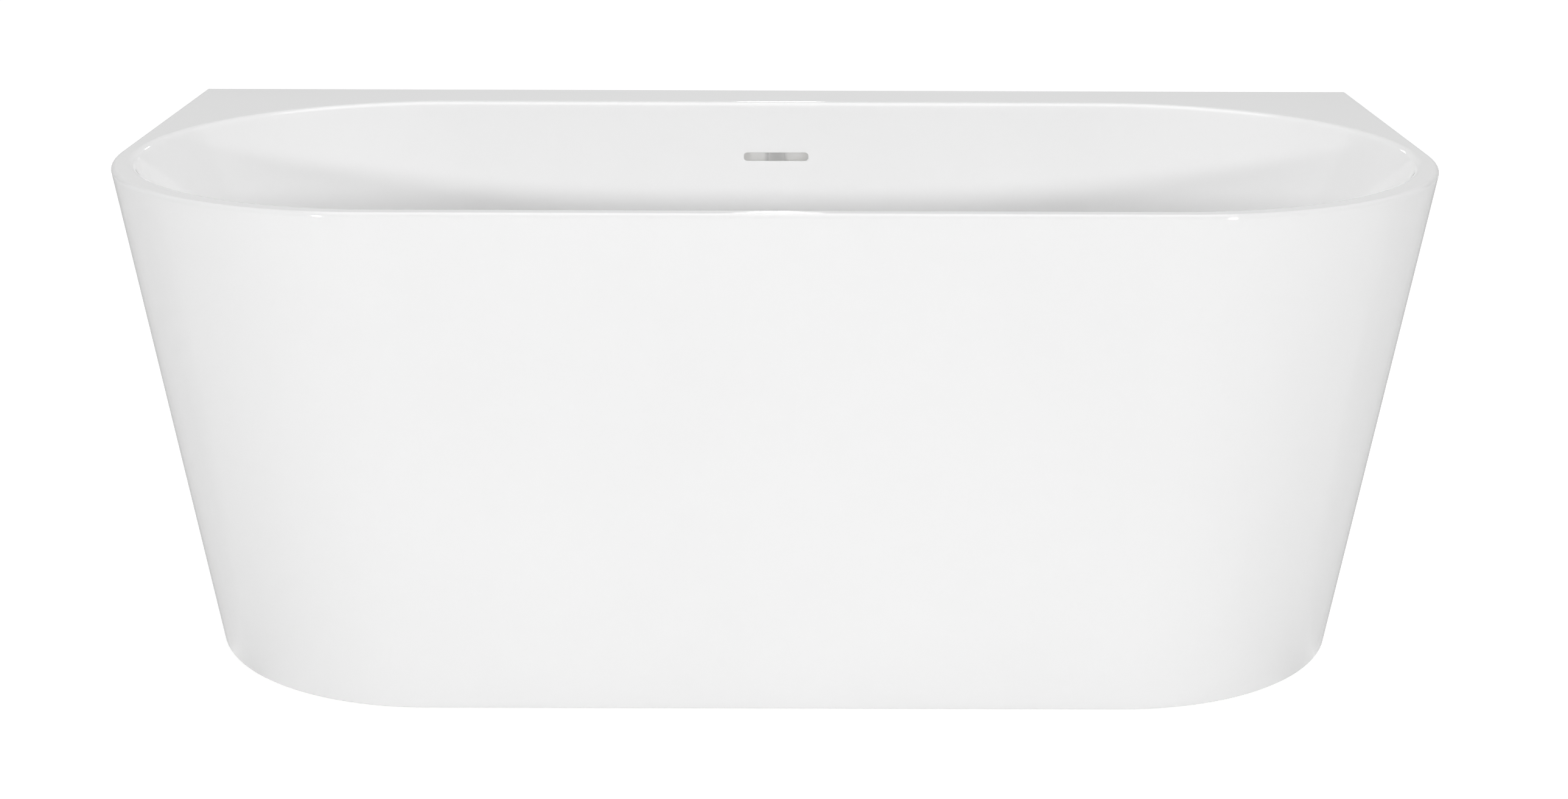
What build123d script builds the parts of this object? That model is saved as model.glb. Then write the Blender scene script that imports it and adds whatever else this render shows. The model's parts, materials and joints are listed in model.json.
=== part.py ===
from build123d import *
import os
from math import atan2, cos, pi, sin, sqrt, tan

# Back-to-wall freestanding bathtub.
# An acrylic bowl with a wide back deck is bonded into a tapered D-shaped skirt that is open at the wall.
# A base board and a steel underframe on four levelling feet carry it.
# A press-to-close waste, a trap and a slot overflow drain it.
# Millimetres. X runs along the bath, Y towards the wall and Z up.
# The origin is on the floor, under the middle of the bath's overall box.

# Outside form
LENGTH = 1500.0
WIDTH = 750.0
HEIGHT = 580.0
SIDE_TAPER = 85.0  # how far each end draws in from the rim to the floor
FRONT_TAPER = 70.0  # how far the front draws in from the rim to the floor
RIM_CORNER_R = 325.0
BASE_CORNER_R = 280.0
FLOOR_GAP = 2.0  # the feet carry the bath, so the skirt stays this far off the floor

# Bowl shell
SHELL = 6.0
SIDE_RIM = 20.0  # outside of the bath to the edge of the bowl
FRONT_RIM = 22.0
BACK_DECK = 92.0
END_DRAW = 210.0  # how far each end of the bowl slopes in from the rim to its floor
LONG_DRAW = 78.0  # the same for the front and back walls of the bowl
FLOOR_HEIGHT = 150.0  # top of the bowl's floor above the ground
FLOOR_FILLET = 80.0
RIM_INNER_R = 9.0
RIM_OUTER_R = 5.0
LIP_DROP = 30.0  # the rim turns down by this much where it meets the skirt and the wall

# Skirt
SKIRT_WALL = 5.0
SKIRT_RETURN = 40.0  # width of the turned-in edges at the floor and at the wall
JOGGLE_WALL = 4.0  # tongue that is glued inside the rim's lip
JOGGLE_HEIGHT = 20.0
GLUE_GAP = 0.2

# Slot overflow
SLOT_WIDTH = 82.0
SLOT_HEIGHT = 10.5
SLOT_CORNER_R = 4.0
SLOT_DROP = 69.0  # rim to the middle of the slot
SLOT_EDGE_R = 1.2
GASKET_T = 2.0
HOUSING_LENGTH = 120.0
HOUSING_HEIGHT = 44.0
HOUSING_DEPTH = 48.0
HOUSING_WALL = 3.0
HOUSING_CORNER_R = 8.0
CHANNEL_MARGIN = 4.0  # housing's mouth round the slot
CHANNEL_DEPTH = 9.0  # shallow channel behind the slot
WELL_WIDTH = 20.0  # deep well in the middle, down to the outlet
SPIGOT_OD = 40.0
SPIGOT_LENGTH = 32.0
INLET_LENGTH = 40.0  # waste chamber's wall to the end of its overflow inlet
OVERFLOW_OD = 32.0
OVERFLOW_WALL = 2.0
OVERFLOW_BEND_R = 60.0
OVERFLOW_INSERT = 22.0  # how far the pipe goes into a spigot
PIPE_END = 0.5  # room past the pipe's end, and between a nut's lip and a spigot
PIPE_CLEAR = 0.4  # radial room between the pipe and a spigot or nut
SLIP_NUT_OD = 48.0
SLIP_NUT_LENGTH = 26.0
SLIP_NUT_LIP = 4.0
NUT_RIBS = 12
NUT_RIB_D = 5.0

# Waste
DRAIN_HOLE_D = 52.0
DRAIN_RECESS_D = 84.0
DRAIN_RECESS_DEPTH = 4.5
DISH_EDGE_R = 1.5
DRAIN_PAD_D = 104.0
DRAIN_FLANGE_D = 80.0
DRAIN_FLANGE_T = 3.0
DRAIN_SEAL_T = 1.5
DRAIN_TAIL_OD = 48.0
DRAIN_TAIL_BORE = 38.0
DRAIN_TAIL_LENGTH = 24.0
DRAIN_SEAT_D = 44.0
DRAIN_EDGE_R = 1.0
SPOKE_COUNT = 4
SPOKE_T = 3.0
BOSS_D = 20.0
BOSS_HEIGHT = 12.0
BOSS_DROP = 5.0  # flange's underside to the top of the spider's boss
SPOKE_SHARE = 0.7  # of the boss's height
WASTE_GASKET_T = 3.0
WASTE_FLANGE_D = 90.0
WASTE_FLANGE_T = 5.0
WASTE_CHAMBER_OD = 64.0
WASTE_CHAMBER_WALL = 4.0
WASTE_FIT = 0.3
WASTE_TAIL_OD = 48.0
PLUG_D = 64.0
PLUG_T = 6.0
PLUG_LIFT_CLEAR = 0.4
PLUG_STEM_D = 10.0
PLUG_STEM_LENGTH = 34.0
PLUG_ROUND_SHARE = 0.8  # of the cap's thickness
PLUG_HUB = 3.1
PLUG_SEAL_OD = 43.0
PLUG_SEAL_ID = 34.0
PLUG_SEAL_T = 2.7
SEAL_FIT = 0.2
STEM_CLEAR = 0.3
STEM_TIP_D = 6.0
STEM_TIP = 4.0
CARTRIDGE_D = 16.0
CARTRIDGE_LENGTH = 26.0
CARTRIDGE_FLOOR = 3.0

# Trap
TRAP_OD = 44.0
TRAP_WALL = 3.0
TRAP_BEND_R = 30.0
TRAP_FLOOR_CLEAR = 6.0
TRAP_LEG = 12.0
TRAP_COLLAR_OD = 47.0
TRAP_COLLAR_T = 3.0
TRAP_WASHER_T = 2.0
TRAP_NUT_OD = 62.0
TRAP_NUT_HEIGHT = 20.0
TRAP_NUT_LIP = 3.0
TRAP_OUTLET_RUN = 40.0
TRAP_STEP = 2.0  # the outlet's wall steps in by this much, on the radius
OUTLET_OD = 40.0
OUTLET_LENGTH = 45.0

# Underframe
BOARD_T = 15.0
BOARD_MARGIN = 8.0  # inside the flat of the bowl's floor
BOARD_HOLE_D = 124.0
BOARD_NOTCH = 66.0  # room for the overflow pipe and its nut
BEARER_INSET = 110.0  # board's end to the middle of a bearer
BEARER_HEIGHT = 30.0
BEARER_WIDTH = 90.0
BEARER_HAT = 50.0
STEEL = 2.0
BEARER_FRONT_GAP = 14.0  # bearer's front end to the inside of the skirt
RAIL_SIZE = 25.0
RAIL_WALL = 1.5
RAIL_END_GAP = 4.0
RAIL_BOLT_INSET = 18.0
CAP_T = 3.0
CAP_PLUG = 14.0
CAP_CLEAR = 0.25
UPRIGHT_SIZE = 20.0
UPRIGHT_GAP = 41.0  # rear bracket's edge to an upright's plate
UPRIGHT_PLATE = 3.0
UPRIGHT_PLATE_LENGTH = 60.0
BATTEN_T = 18.0
BATTEN_WIDTH = 40.0
BATTEN_OVERHANG = 70.0  # upright's plate to the end of the batten
BRACKET_WIDTH = 36.0
BRACKET_TAB = 30.0
BRACKET_GAP = 6.0  # inside of the skirt to a front bracket
BEND_R = 3.0  # at the middle of the sheet

# Fasteners
SCREW_D = 4.0
SCREW_HEAD_D = 9.0
SCREW_HEAD_T = 2.6
SCREW_LENGTH = 14.0
SCREW_EDGE = 60.0  # board's long edge to a screw
BOLT_D = 6.0
BOLT_AF = 10.0
BOLT_HEAD_T = 4.0
BOLT_NUT_T = 5.0
BOLT_PROUD = 2.0
HOLE_CLEAR = 0.2

# Levelling feet
STUD_D = 10.0
STUD_NUT_AF = 17.0
STUD_NUT_T = 8.0
STUD_HEX_AF = 14.0
STUD_HEX_T = 6.0
STUD_TOP_CLEAR = 4.0  # stud's top to the board, at rest
STUD_CLEAR = 0.3  # room round the stud in its pad, nuts and holes
STUD_CHAMFER = 1.0
FOOT_PAD_D = 56.0
FOOT_PAD_NECK_D = 24.0
FOOT_PAD_H = 22.0
FOOT_SOLE = 6.0
FOOT_FRONT_INSET = 80.0  # bearer's end to the foot
FOOT_REAR_INSET = 120.0

# Levels and places that follow from the sizes above
WALL_Y = WIDTH / 2
FRONT_Y = -WIDTH / 2
SEAM_Z = HEIGHT - LIP_DROP
BOWL_DEPTH = HEIGHT - FLOOR_HEIGHT
BOWL_HALF_LENGTH = LENGTH / 2 - SIDE_RIM
BOWL_HALF_WIDTH = (WIDTH - FRONT_RIM - BACK_DECK) / 2
BOWL_Y = FRONT_Y + FRONT_RIM + BOWL_HALF_WIDTH
SHELL_UNDER = FLOOR_HEIGHT - SHELL
BOARD_UNDER = SHELL_UNDER - BOARD_T
BEARER_UNDER = BOARD_UNDER - BEARER_HEIGHT
RETURN_TOP = FLOOR_GAP + SKIRT_WALL
RAIL_TOP = RETURN_TOP + RAIL_SIZE
BATTEN_UNDER = HEIGHT - SHELL - BATTEN_T
SIDES = (-1, 1)
PAST = 10.0  # how far a cutting tool runs past the face it opens


def drawn(run, z):
    """The share of a taper's run that is left at height z: none at the rim, all of it at the floor."""
    return run * (1 - z / HEIGHT)


def lost_to_rounding(taper):
    """How far the rim's rounding draws in the widest line of a face that leans out by this taper."""
    lean = atan2(taper, HEIGHT)
    return RIM_OUTER_R * (sin(lean) / tan((pi / 2 - lean) / 2) + cos(lean) - 1)


def outer_half(z):
    """Half the bath's outside length at height z, before the rim is rounded."""
    return LENGTH / 2 + lost_to_rounding(SIDE_TAPER) - drawn(SIDE_TAPER, z)


def outer_front(z):
    """The bath's front at height z, before the rim is rounded."""
    return FRONT_Y - lost_to_rounding(FRONT_TAPER) + drawn(FRONT_TAPER, z)


def d_section(z, inset, back):
    """D-shaped section of the bath's outside at height z, drawn in by inset at the ends and the front."""
    half = outer_half(z) - inset
    front = outer_front(z) + inset
    radius = RIM_CORNER_R - drawn(RIM_CORNER_R - BASE_CORNER_R, z) - inset
    mid = radius * (1 - sqrt(0.5))
    outline = [
        Line((-half, back), (half, back)),
        Line((half, back), (half, front + radius)),
        ThreePointArc((half, front + radius), (half - mid, front + mid), (half - radius, front)),
        Line((half - radius, front), (radius - half, front)),
        ThreePointArc((radius - half, front), (mid - half, front + mid), (-half, front + radius)),
        Line((-half, front + radius), (-half, back)),
    ]
    return Pos(0, 0, z) * make_face(outline)


def d_block(low, high, inset, back):
    """The bath's outside between two heights, as a tapered solid."""
    return loft([d_section(low, inset, back), d_section(high, inset, back)], ruled=True)


def bowl_half_width(z):
    return BOWL_HALF_WIDTH - LONG_DRAW * (HEIGHT - z) / BOWL_DEPTH


def bowl_half_length(z):
    return BOWL_HALF_LENGTH - END_DRAW * (HEIGHT - z) / BOWL_DEPTH


def bowl_section(z, grow):
    """Round-ended section of the bowl's inside at height z, made larger by grow all round."""
    length = 2 * (bowl_half_length(z) + grow)
    width = 2 * (bowl_half_width(z) + grow)
    return Pos(0, BOWL_Y, z) * SlotOverall(length, width)


def bowl_block(top, grow):
    """The bowl's inside as a solid, or its outside where grow is the shell's thickness."""
    floor = FLOOR_HEIGHT - grow
    block = loft([bowl_section(floor, grow), bowl_section(top, grow)], ruled=True)
    floor_edges = block.edges().group_by(Axis.Z)[0]
    return fillet(floor_edges, FLOOR_FILLET + grow)


# Flat of the bowl's underside, and the board on it
WALL_LEAN = atan2(LONG_DRAW, BOWL_DEPTH)
END_LEAN = atan2(END_DRAW, BOWL_DEPTH)


def flat_half(half, lean):
    """Half of the flat that the floor's rounding leaves, out of half the bowl's outside at the floor."""
    return half + SHELL - (FLOOR_FILLET + SHELL) * tan((pi / 2 - lean) / 2)


BOARD_HALF_WIDTH = flat_half(bowl_half_width(SHELL_UNDER), WALL_LEAN) - BOARD_MARGIN
BOARD_HALF_LENGTH = flat_half(bowl_half_length(SHELL_UNDER), END_LEAN) - BOARD_MARGIN

# Underframe places
RAIL_Y = WALL_Y - SKIRT_WALL - RAIL_SIZE / 2
RAIL_FRONT = RAIL_Y - RAIL_SIZE / 2
RAIL_HALF = outer_half(RETURN_TOP) - SKIRT_WALL - RAIL_END_GAP - CAP_T
BEARER_X = BOARD_HALF_LENGTH - BEARER_INSET
BEARER_FRONT = outer_front(BEARER_UNDER) + SKIRT_WALL + BEARER_FRONT_GAP
BEARER_REAR = RAIL_Y + RAIL_SIZE / 2
BRACKET_FRONT = outer_front(RETURN_TOP) + SKIRT_WALL + BRACKET_GAP
UPRIGHT_X = BEARER_X + BRACKET_WIDTH / 2 + UPRIGHT_GAP + UPRIGHT_PLATE_LENGTH / 2
BATTEN_HALF = UPRIGHT_X + UPRIGHT_PLATE_LENGTH / 2 + BATTEN_OVERHANG
FOOT_YS = (BEARER_FRONT + FOOT_FRONT_INSET, BEARER_REAR - FOOT_REAR_INSET)


def tab_middle(front, tab):
    """Middle of the flat of a bracket's tab, past the bend, where its bolt goes."""
    return front + (STEEL / 2 + BEND_R + tab) / 2


BOLT_YS = (tab_middle(BRACKET_FRONT, BRACKET_TAB), tab_middle(RAIL_FRONT, RAIL_SIZE))

# Waste and trap levels
AT_DRAIN = Pos(0, BOWL_Y, 0)
WASTE_SEAT = SHELL_UNDER - DRAIN_RECESS_DEPTH
WASTE_FLANGE_LOW = WASTE_SEAT - WASTE_GASKET_T - WASTE_FLANGE_T
PIPE_Z = WASTE_FLANGE_LOW - SPIGOT_OD / 2
CHAMBER_LOW = WASTE_FLANGE_LOW - SPIGOT_OD
INLET_REACH = WASTE_CHAMBER_OD / 2 + INLET_LENGTH
BOSS_LOW = FLOOR_HEIGHT - DRAIN_FLANGE_T - BOSS_DROP - BOSS_HEIGHT
PLUG_LOW = FLOOR_HEIGHT + PLUG_LIFT_CLEAR
TRAP_LOW = TRAP_FLOOR_CLEAR + TRAP_OD / 2 + TRAP_BEND_R
TRAP_TOP = TRAP_LOW + TRAP_LEG
WASTE_TAIL_LOW = TRAP_TOP + TRAP_WASHER_T

# Plane on the back of the bowl's wall at the slot: X along the bath, Y down the wall, Z out of the bowl
SLOT_Z = HEIGHT - SLOT_DROP
BACK_WALL = Plane(
    origin=(0, BOWL_Y + bowl_half_width(SLOT_Z) + SHELL, SLOT_Z),
    x_dir=(1, 0, 0),
    z_dir=(0, cos(WALL_LEAN), -sin(WALL_LEAN)),
)
HOUSING_FOOT = BACK_WALL.from_local_coords((0, HOUSING_HEIGHT / 2, GASKET_T + HOUSING_DEPTH / 2))
OVERFLOW_Y = HOUSING_FOOT.Y
OVERFLOW_TOP = HOUSING_FOOT.Z
SPIGOT_LOW = OVERFLOW_TOP - SPIGOT_LENGTH


def ring(outer_d, inner_d, low, high):
    """Plain ring about Z."""
    disc = Circle(outer_d / 2) - Circle(inner_d / 2)
    return Pos(0, 0, low) * extrude(disc, high - low)


def hex_nut(across_flats, bore_d, low, high):
    """Hexagon nut about Z with chamfered corners."""
    blank = Pos(0, 0, low) * extrude(RegularPolygon(across_flats / 2, 6, major_radius=False), high - low)
    corner_r = across_flats / sqrt(3)
    chamfer_run = corner_r - across_flats / 2
    middle = Pos(0, 0, (low + high) / 2)
    nut = blank & middle * chamfer(Cylinder(corner_r, high - low).edges(), chamfer_run / 2, chamfer_run)
    if bore_d:
        nut -= middle * Cylinder(bore_d / 2, high - low + PAST)
    return nut


def tube_along(path, outer_d, wall):
    """Hollow tube swept along a path."""
    start = Plane(origin=path @ 0, z_dir=path % 0)
    return sweep(start * (Circle(outer_d / 2) - Circle(outer_d / 2 - wall)), path=path)


def slip_nut(pipe_d, thread_d, outer_d, length, lip):
    """Ribbed nut about Z: the lip at its foot closes on the pipe and the rest turns on the thread."""
    nut = ring(outer_d, pipe_d + 2 * PIPE_CLEAR, 0, lip)
    nut += ring(outer_d, thread_d + 2 * PIPE_CLEAR, lip, length)
    rib = extrude(Circle(NUT_RIB_D / 2), length)
    return nut + [spot * rib for spot in PolarLocations(outer_d / 2 - NUT_RIB_D / 4, NUT_RIBS)]


def wall_side(y):
    """Everything on the wall's side of y, for trimming a flat back."""
    return Pos(0, y + LENGTH / 2, HEIGHT / 2) * Box(2 * LENGTH, LENGTH, 2 * HEIGHT)


def trimmed_block(low, high, inset, back):
    """The bath's outside between two heights, with a truly flat back."""
    return d_block(low, high, inset, back + PAST) - wall_side(back)


# The bowl, its rim and its deck
def basin():
    deck = trimmed_block(SEAM_Z, HEIGHT, 0, WALL_Y)
    deck -= trimmed_block(SEAM_Z - PAST, HEIGHT - SHELL, SHELL, WALL_Y - SHELL)
    shell = deck + bowl_block(HEIGHT - SHELL / 2, SHELL) - bowl_block(HEIGHT + PAST, 0)
    shell = round_rim(shell)
    shell = open_slot(shell)
    return open_drain(shell)


def rim_face(shell):
    return shell.faces().filter_by(Axis.Z).sort_by(Axis.Z)[-1]


def round_rim(shell):
    """Rounds the bowl's edge, then the outside edge of the rim except along the wall."""
    shell = fillet(rim_face(shell).inner_wires()[0].edges(), RIM_INNER_R)
    outside = rim_face(shell).outer_wire().edges().sort_by(Axis.Y)[:-1]
    return fillet(outside, RIM_OUTER_R)


def open_slot(shell):
    """Cuts the overflow slot square to the back wall and softens its edge inside the bowl."""
    slot = extrude(RectangleRounded(SLOT_WIDTH, SLOT_HEIGHT, SLOT_CORNER_R), SHELL + PAST, both=True)
    shell -= BACK_WALL * slot

    def on_slot_edge(edge):
        at = BACK_WALL.to_local_coords(edge.center())
        near = abs(at.X) <= SLOT_WIDTH / 2 and abs(at.Y) <= SLOT_HEIGHT
        return near and abs(at.Z + SHELL * cos(WALL_LEAN)) < SHELL / 4

    return fillet(shell.edges().filter_by(on_slot_edge), SLOT_EDGE_R)


def open_drain(shell):
    """Dishes the floor for the waste's flange and cuts the hole for its tail."""
    dish = ring(DRAIN_PAD_D, DRAIN_HOLE_D, WASTE_SEAT, SHELL_UNDER + SHELL / 2)
    recess = ring(DRAIN_RECESS_D, DRAIN_HOLE_D, FLOOR_HEIGHT - DRAIN_RECESS_DEPTH, FLOOR_HEIGHT + PAST)
    hole = Pos(0, 0, FLOOR_HEIGHT) * Cylinder(DRAIN_HOLE_D / 2, BOWL_DEPTH)
    shell = shell + AT_DRAIN * dish - AT_DRAIN * recess - AT_DRAIN * hole
    floor_face = shell.faces().filter_by(Axis.Z).sort_by(lambda face: abs(face.center().Z - FLOOR_HEIGHT))[0]
    return fillet(floor_face.inner_wires()[0].edges(), DISH_EDGE_R)


# The skirt
def skirt():
    joggle_inset = SHELL + GLUE_GAP
    hollow_inset = joggle_inset + JOGGLE_WALL
    body = trimmed_block(FLOOR_GAP, SEAM_Z, 0, WALL_Y)
    body -= trimmed_block(RETURN_TOP, SEAM_Z - JOGGLE_HEIGHT, SKIRT_WALL, WALL_Y - SKIRT_WALL)
    body -= trimmed_block(SEAM_Z - JOGGLE_HEIGHT, SEAM_Z + PAST, hollow_inset, WALL_Y - SKIRT_WALL)
    body -= d_block(FLOOR_GAP - PAST, SEAM_Z + PAST, SKIRT_WALL + SKIRT_RETURN, WALL_Y + PAST)
    tongue_back = WALL_Y - SKIRT_WALL - SHELL
    tongue = trimmed_block(SEAM_Z, SEAM_Z + JOGGLE_HEIGHT, joggle_inset, tongue_back)
    tongue -= d_block(SEAM_Z - PAST, SEAM_Z + JOGGLE_HEIGHT + PAST, hollow_inset, WALL_Y + PAST)
    bolt_hole = Cylinder(BOLT_D / 2 + HOLE_CLEAR, 4 * SKIRT_WALL)
    spots = bracket_spots(RETURN_TOP, BOLT_YS[:1]) + rail_bolt_spots(RETURN_TOP)
    return body + tongue - [spot * bolt_hole for spot in spots]


# Base board and steel underframe
def base_board():
    board = extrude(SlotOverall(2 * BOARD_HALF_LENGTH, 2 * BOARD_HALF_WIDTH), BOARD_T)
    board -= Cylinder(BOARD_HOLE_D / 2, 4 * BOARD_T)
    notch_length = BOARD_HALF_WIDTH + PAST
    board -= Pos(0, notch_length / 2, 0) * Box(BOARD_NOTCH, notch_length, 4 * BOARD_T)
    board = Pos(0, BOWL_Y, BOARD_UNDER) * board
    return board - [spot * pilot() for spot in board_screw_spots()]


def pilot():
    """Hole for a wood screw that is driven upwards from Z = 0."""
    return Cylinder(SCREW_D / 2 + HOLE_CLEAR, 2 * (SCREW_LENGTH + HOLE_CLEAR))


def board_screw_spots():
    """Where the wood screws enter the board, through both flanges of both bearers."""
    side_run = (BEARER_HAT + BEARER_WIDTH) / 4
    return [
        Pos(side * BEARER_X + flange * side_run, BOWL_Y + end * (BOARD_HALF_WIDTH - SCREW_EDGE), BOARD_UNDER)
        for side in SIDES
        for flange in SIDES
        for end in SIDES
    ]


def folded(plane, middle_line, width):
    """Steel sheet bent along a line on the plane, and as wide as given to both sides of it."""
    return extrude(plane * trace(FilletPolyline(*middle_line, radius=BEND_R), STEEL), width / 2, both=True)


def bearer(side):
    """Top-hat steel channel under the board, with holes for the studs, screws and bracket bolts."""
    flange_z = BOARD_UNDER - STEEL / 2
    web_z = BEARER_UNDER + STEEL / 2
    flange_x = BEARER_WIDTH / 2
    hat_x = (BEARER_HAT - STEEL) / 2
    middle = (BEARER_FRONT + BEARER_REAR) / 2
    across = Plane(origin=(side * BEARER_X, middle, 0), x_dir=(1, 0, 0), z_dir=(0, -1, 0))
    line = [
        (-flange_x, flange_z), (-hat_x, flange_z), (-hat_x, web_z),
        (hat_x, web_z), (hat_x, flange_z), (flange_x, flange_z),
    ]
    channel = folded(across, line, BEARER_REAR - BEARER_FRONT)
    channel -= [spot * pilot() for spot in board_screw_spots()]
    stud_hole = Cylinder(STUD_D / 2 + STUD_CLEAR, BEARER_HEIGHT)
    channel -= [Pos(side * BEARER_X, y, BEARER_UNDER) * stud_hole for y in FOOT_YS]
    bolt_hole = Cylinder(BOLT_D / 2 + HOLE_CLEAR, BEARER_HEIGHT)
    return channel - [Pos(side * BEARER_X, y, BEARER_UNDER) * bolt_hole for y in BOLT_YS]


def wood_screw():
    """Pan-head screw driven upwards, its head's seat at Z = 0."""
    head = Pos(0, 0, -SCREW_HEAD_T / 2) * Cylinder(SCREW_HEAD_D / 2, SCREW_HEAD_T)
    head = fillet(head.edges().sort_by(Axis.Z)[0], SCREW_HEAD_T / 2)
    return head + Pos(0, 0, SCREW_LENGTH / 2) * Cylinder(SCREW_D / 2, SCREW_LENGTH)


def board_screws():
    return [spot * Pos(0, 0, -STEEL) * wood_screw() for spot in board_screw_spots()]


def c_bracket(side, front, tab, low, high):
    """Folded bracket between a bearer and what lies below it, open towards the wall."""
    plane = Plane(origin=(side * BEARER_X, 0, 0), x_dir=(0, 1, 0), z_dir=(1, 0, 0))
    plate_y = front + STEEL / 2
    low_z = low + STEEL / 2
    high_z = high - STEEL / 2
    line = [(front + tab, low_z), (plate_y, low_z), (plate_y, high_z), (front + tab, high_z)]
    bracket = folded(plane, line, BRACKET_WIDTH)
    hole = Cylinder(BOLT_D / 2 + HOLE_CLEAR, 2 * (high - low) + PAST)
    return bracket - Pos(side * BEARER_X, tab_middle(front, tab), (low + high) / 2) * hole


def hex_bolt(length):
    """Hexagon-head bolt that points up, its head's seat at Z = 0."""
    return hex_nut(BOLT_AF, 0, -BOLT_HEAD_T, 0) + Pos(0, 0, length / 2) * Cylinder(BOLT_D / 2, length)


def bracket_spots(z, rows):
    return [Pos(side * BEARER_X, y, z) for side in SIDES for y in rows]


def bracket_bolts():
    length = 2 * STEEL + BOLT_NUT_T + BOLT_PROUD
    return [spot * hex_bolt(length) for spot in bracket_spots(BEARER_UNDER - STEEL, BOLT_YS)]


def bracket_nuts():
    nut = hex_nut(BOLT_AF, BOLT_D + 2 * HOLE_CLEAR, 0, BOLT_NUT_T)
    return [spot * nut for spot in bracket_spots(BEARER_UNDER + STEEL, BOLT_YS)]


def bracket_screws():
    """Short screws, driven down: the front ones into the skirt's return, the rear ones into the rail."""
    turned = Rot(180, 0, 0)
    front = turned * hex_bolt(STEEL + SKIRT_WALL - FLOOR_GAP / 2)
    rear = turned * hex_bolt(STEEL + RAIL_WALL + BOLT_PROUD)
    into_skirt = [spot * front for spot in bracket_spots(RETURN_TOP + STEEL, BOLT_YS[:1])]
    return into_skirt + [spot * rear for spot in bracket_spots(RAIL_TOP + STEEL, BOLT_YS[1:])]


def square_tube(size, wall, length):
    """Square tube along Z from Z = 0."""
    outside = RectangleRounded(size, size, wall)
    return extrude(outside - Rectangle(size - 2 * wall, size - 2 * wall), length)


def rear_rail():
    along = Plane(origin=(-RAIL_HALF, RAIL_Y, RAIL_TOP - RAIL_SIZE / 2), x_dir=(0, 1, 0), z_dir=(1, 0, 0))
    rail = along * square_tube(RAIL_SIZE, RAIL_WALL, 2 * RAIL_HALF)
    bolt_hole = Cylinder(BOLT_D / 2 + HOLE_CLEAR, RAIL_SIZE)
    rail -= [spot * bolt_hole for spot in bracket_spots(RAIL_TOP, BOLT_YS[1:])]
    through = Cylinder(BOLT_D / 2 + HOLE_CLEAR, 4 * RAIL_SIZE)
    rail -= [spot * through for spot in rail_bolt_spots(RAIL_TOP)]
    screw_hole = Cylinder(SCREW_D / 2 + HOLE_CLEAR, RAIL_SIZE)
    return rail - [spot * screw_hole for spot in upright_screw_spots(RAIL_TOP)]


def rail_bolt_spots(z):
    return [Pos(side * (RAIL_HALF - RAIL_BOLT_INSET), RAIL_Y, z) for side in SIDES]


def rail_bolts():
    """Bolts down through the rail's ends into the skirt's return."""
    length = RAIL_TOP - FLOOR_GAP - FLOOR_GAP / 2
    return [spot * Rot(180, 0, 0) * hex_bolt(length) for spot in rail_bolt_spots(RAIL_TOP)]


def rail_end_caps():
    plug_size = RAIL_SIZE - 2 * RAIL_WALL - 2 * CAP_CLEAR
    plate = extrude(RectangleRounded(RAIL_SIZE, RAIL_SIZE, RAIL_WALL), CAP_T)
    cap = plate + Pos(0, 0, -CAP_PLUG / 2) * Box(plug_size, plug_size, CAP_PLUG)
    level = RAIL_TOP - RAIL_SIZE / 2
    ends = [Plane((side * RAIL_HALF, RAIL_Y, level), x_dir=(0, 1, 0), z_dir=(side, 0, 0)) for side in SIDES]
    return [end * cap for end in ends]


def rear_upright(side):
    """Post from the rail to the batten under the deck, with a screwed plate at each end."""
    low = RAIL_TOP
    high = BATTEN_UNDER
    post = Pos(0, 0, low) * square_tube(UPRIGHT_SIZE, RAIL_WALL, high - low)
    plate = Box(UPRIGHT_PLATE_LENGTH, UPRIGHT_SIZE, UPRIGHT_PLATE)
    post += Pos(0, 0, low + UPRIGHT_PLATE / 2) * plate
    post += Pos(0, 0, high - UPRIGHT_PLATE / 2) * plate
    post = Pos(side * UPRIGHT_X, RAIL_Y, 0) * post
    hole = Cylinder(SCREW_D / 2 + HOLE_CLEAR, 4 * UPRIGHT_PLATE)
    post -= [spot * hole for spot in upright_screw_spots(low)]
    return post - [spot * hole for spot in upright_screw_spots(high)]


def upright_screw_spots(z):
    reach = (UPRIGHT_SIZE + UPRIGHT_PLATE_LENGTH) / 4
    return [Pos(side * UPRIGHT_X + end * reach, RAIL_Y, z) for side in SIDES for end in SIDES]


def upright_screws():
    up = Pos(0, 0, -UPRIGHT_PLATE) * wood_screw()
    down = Rot(180, 0, 0) * up
    into_batten = [spot * up for spot in upright_screw_spots(BATTEN_UNDER)]
    return into_batten + [spot * down for spot in upright_screw_spots(RAIL_TOP)]


def deck_batten():
    """Timber strip bonded under the deck, against its lip at the wall."""
    y = WALL_Y - SHELL - BATTEN_WIDTH / 2
    batten = Pos(0, y, BATTEN_UNDER + BATTEN_T / 2) * Box(2 * BATTEN_HALF, BATTEN_WIDTH, BATTEN_T)
    return batten - [spot * pilot() for spot in upright_screw_spots(BATTEN_UNDER)]


# Levelling feet
def foot_spot(side, y):
    return Pos(side * BEARER_X, y, 0)


def foot_pad(side, y):
    """Plastic pad with a blind socket that the stud turns in."""
    neck = FOOT_PAD_NECK_D / 2
    sole = FOOT_PAD_D / 2
    profile = [
        (0, 0), (sole, 0), (sole, FOOT_SOLE / 2), (sole - FOOT_SOLE / 2, FOOT_SOLE),
        (neck, FOOT_SOLE * 2), (neck, FOOT_PAD_H), (0, FOOT_PAD_H),
    ]
    pad = revolve(Plane.XZ * make_face(Polyline(*profile, close=True)), Axis.Z)
    socket = Pos(0, 0, FOOT_SOLE) * extrude(Circle(STUD_D / 2 + STUD_CLEAR), FOOT_PAD_H)
    return foot_spot(side, y) * (pad - socket)


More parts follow.
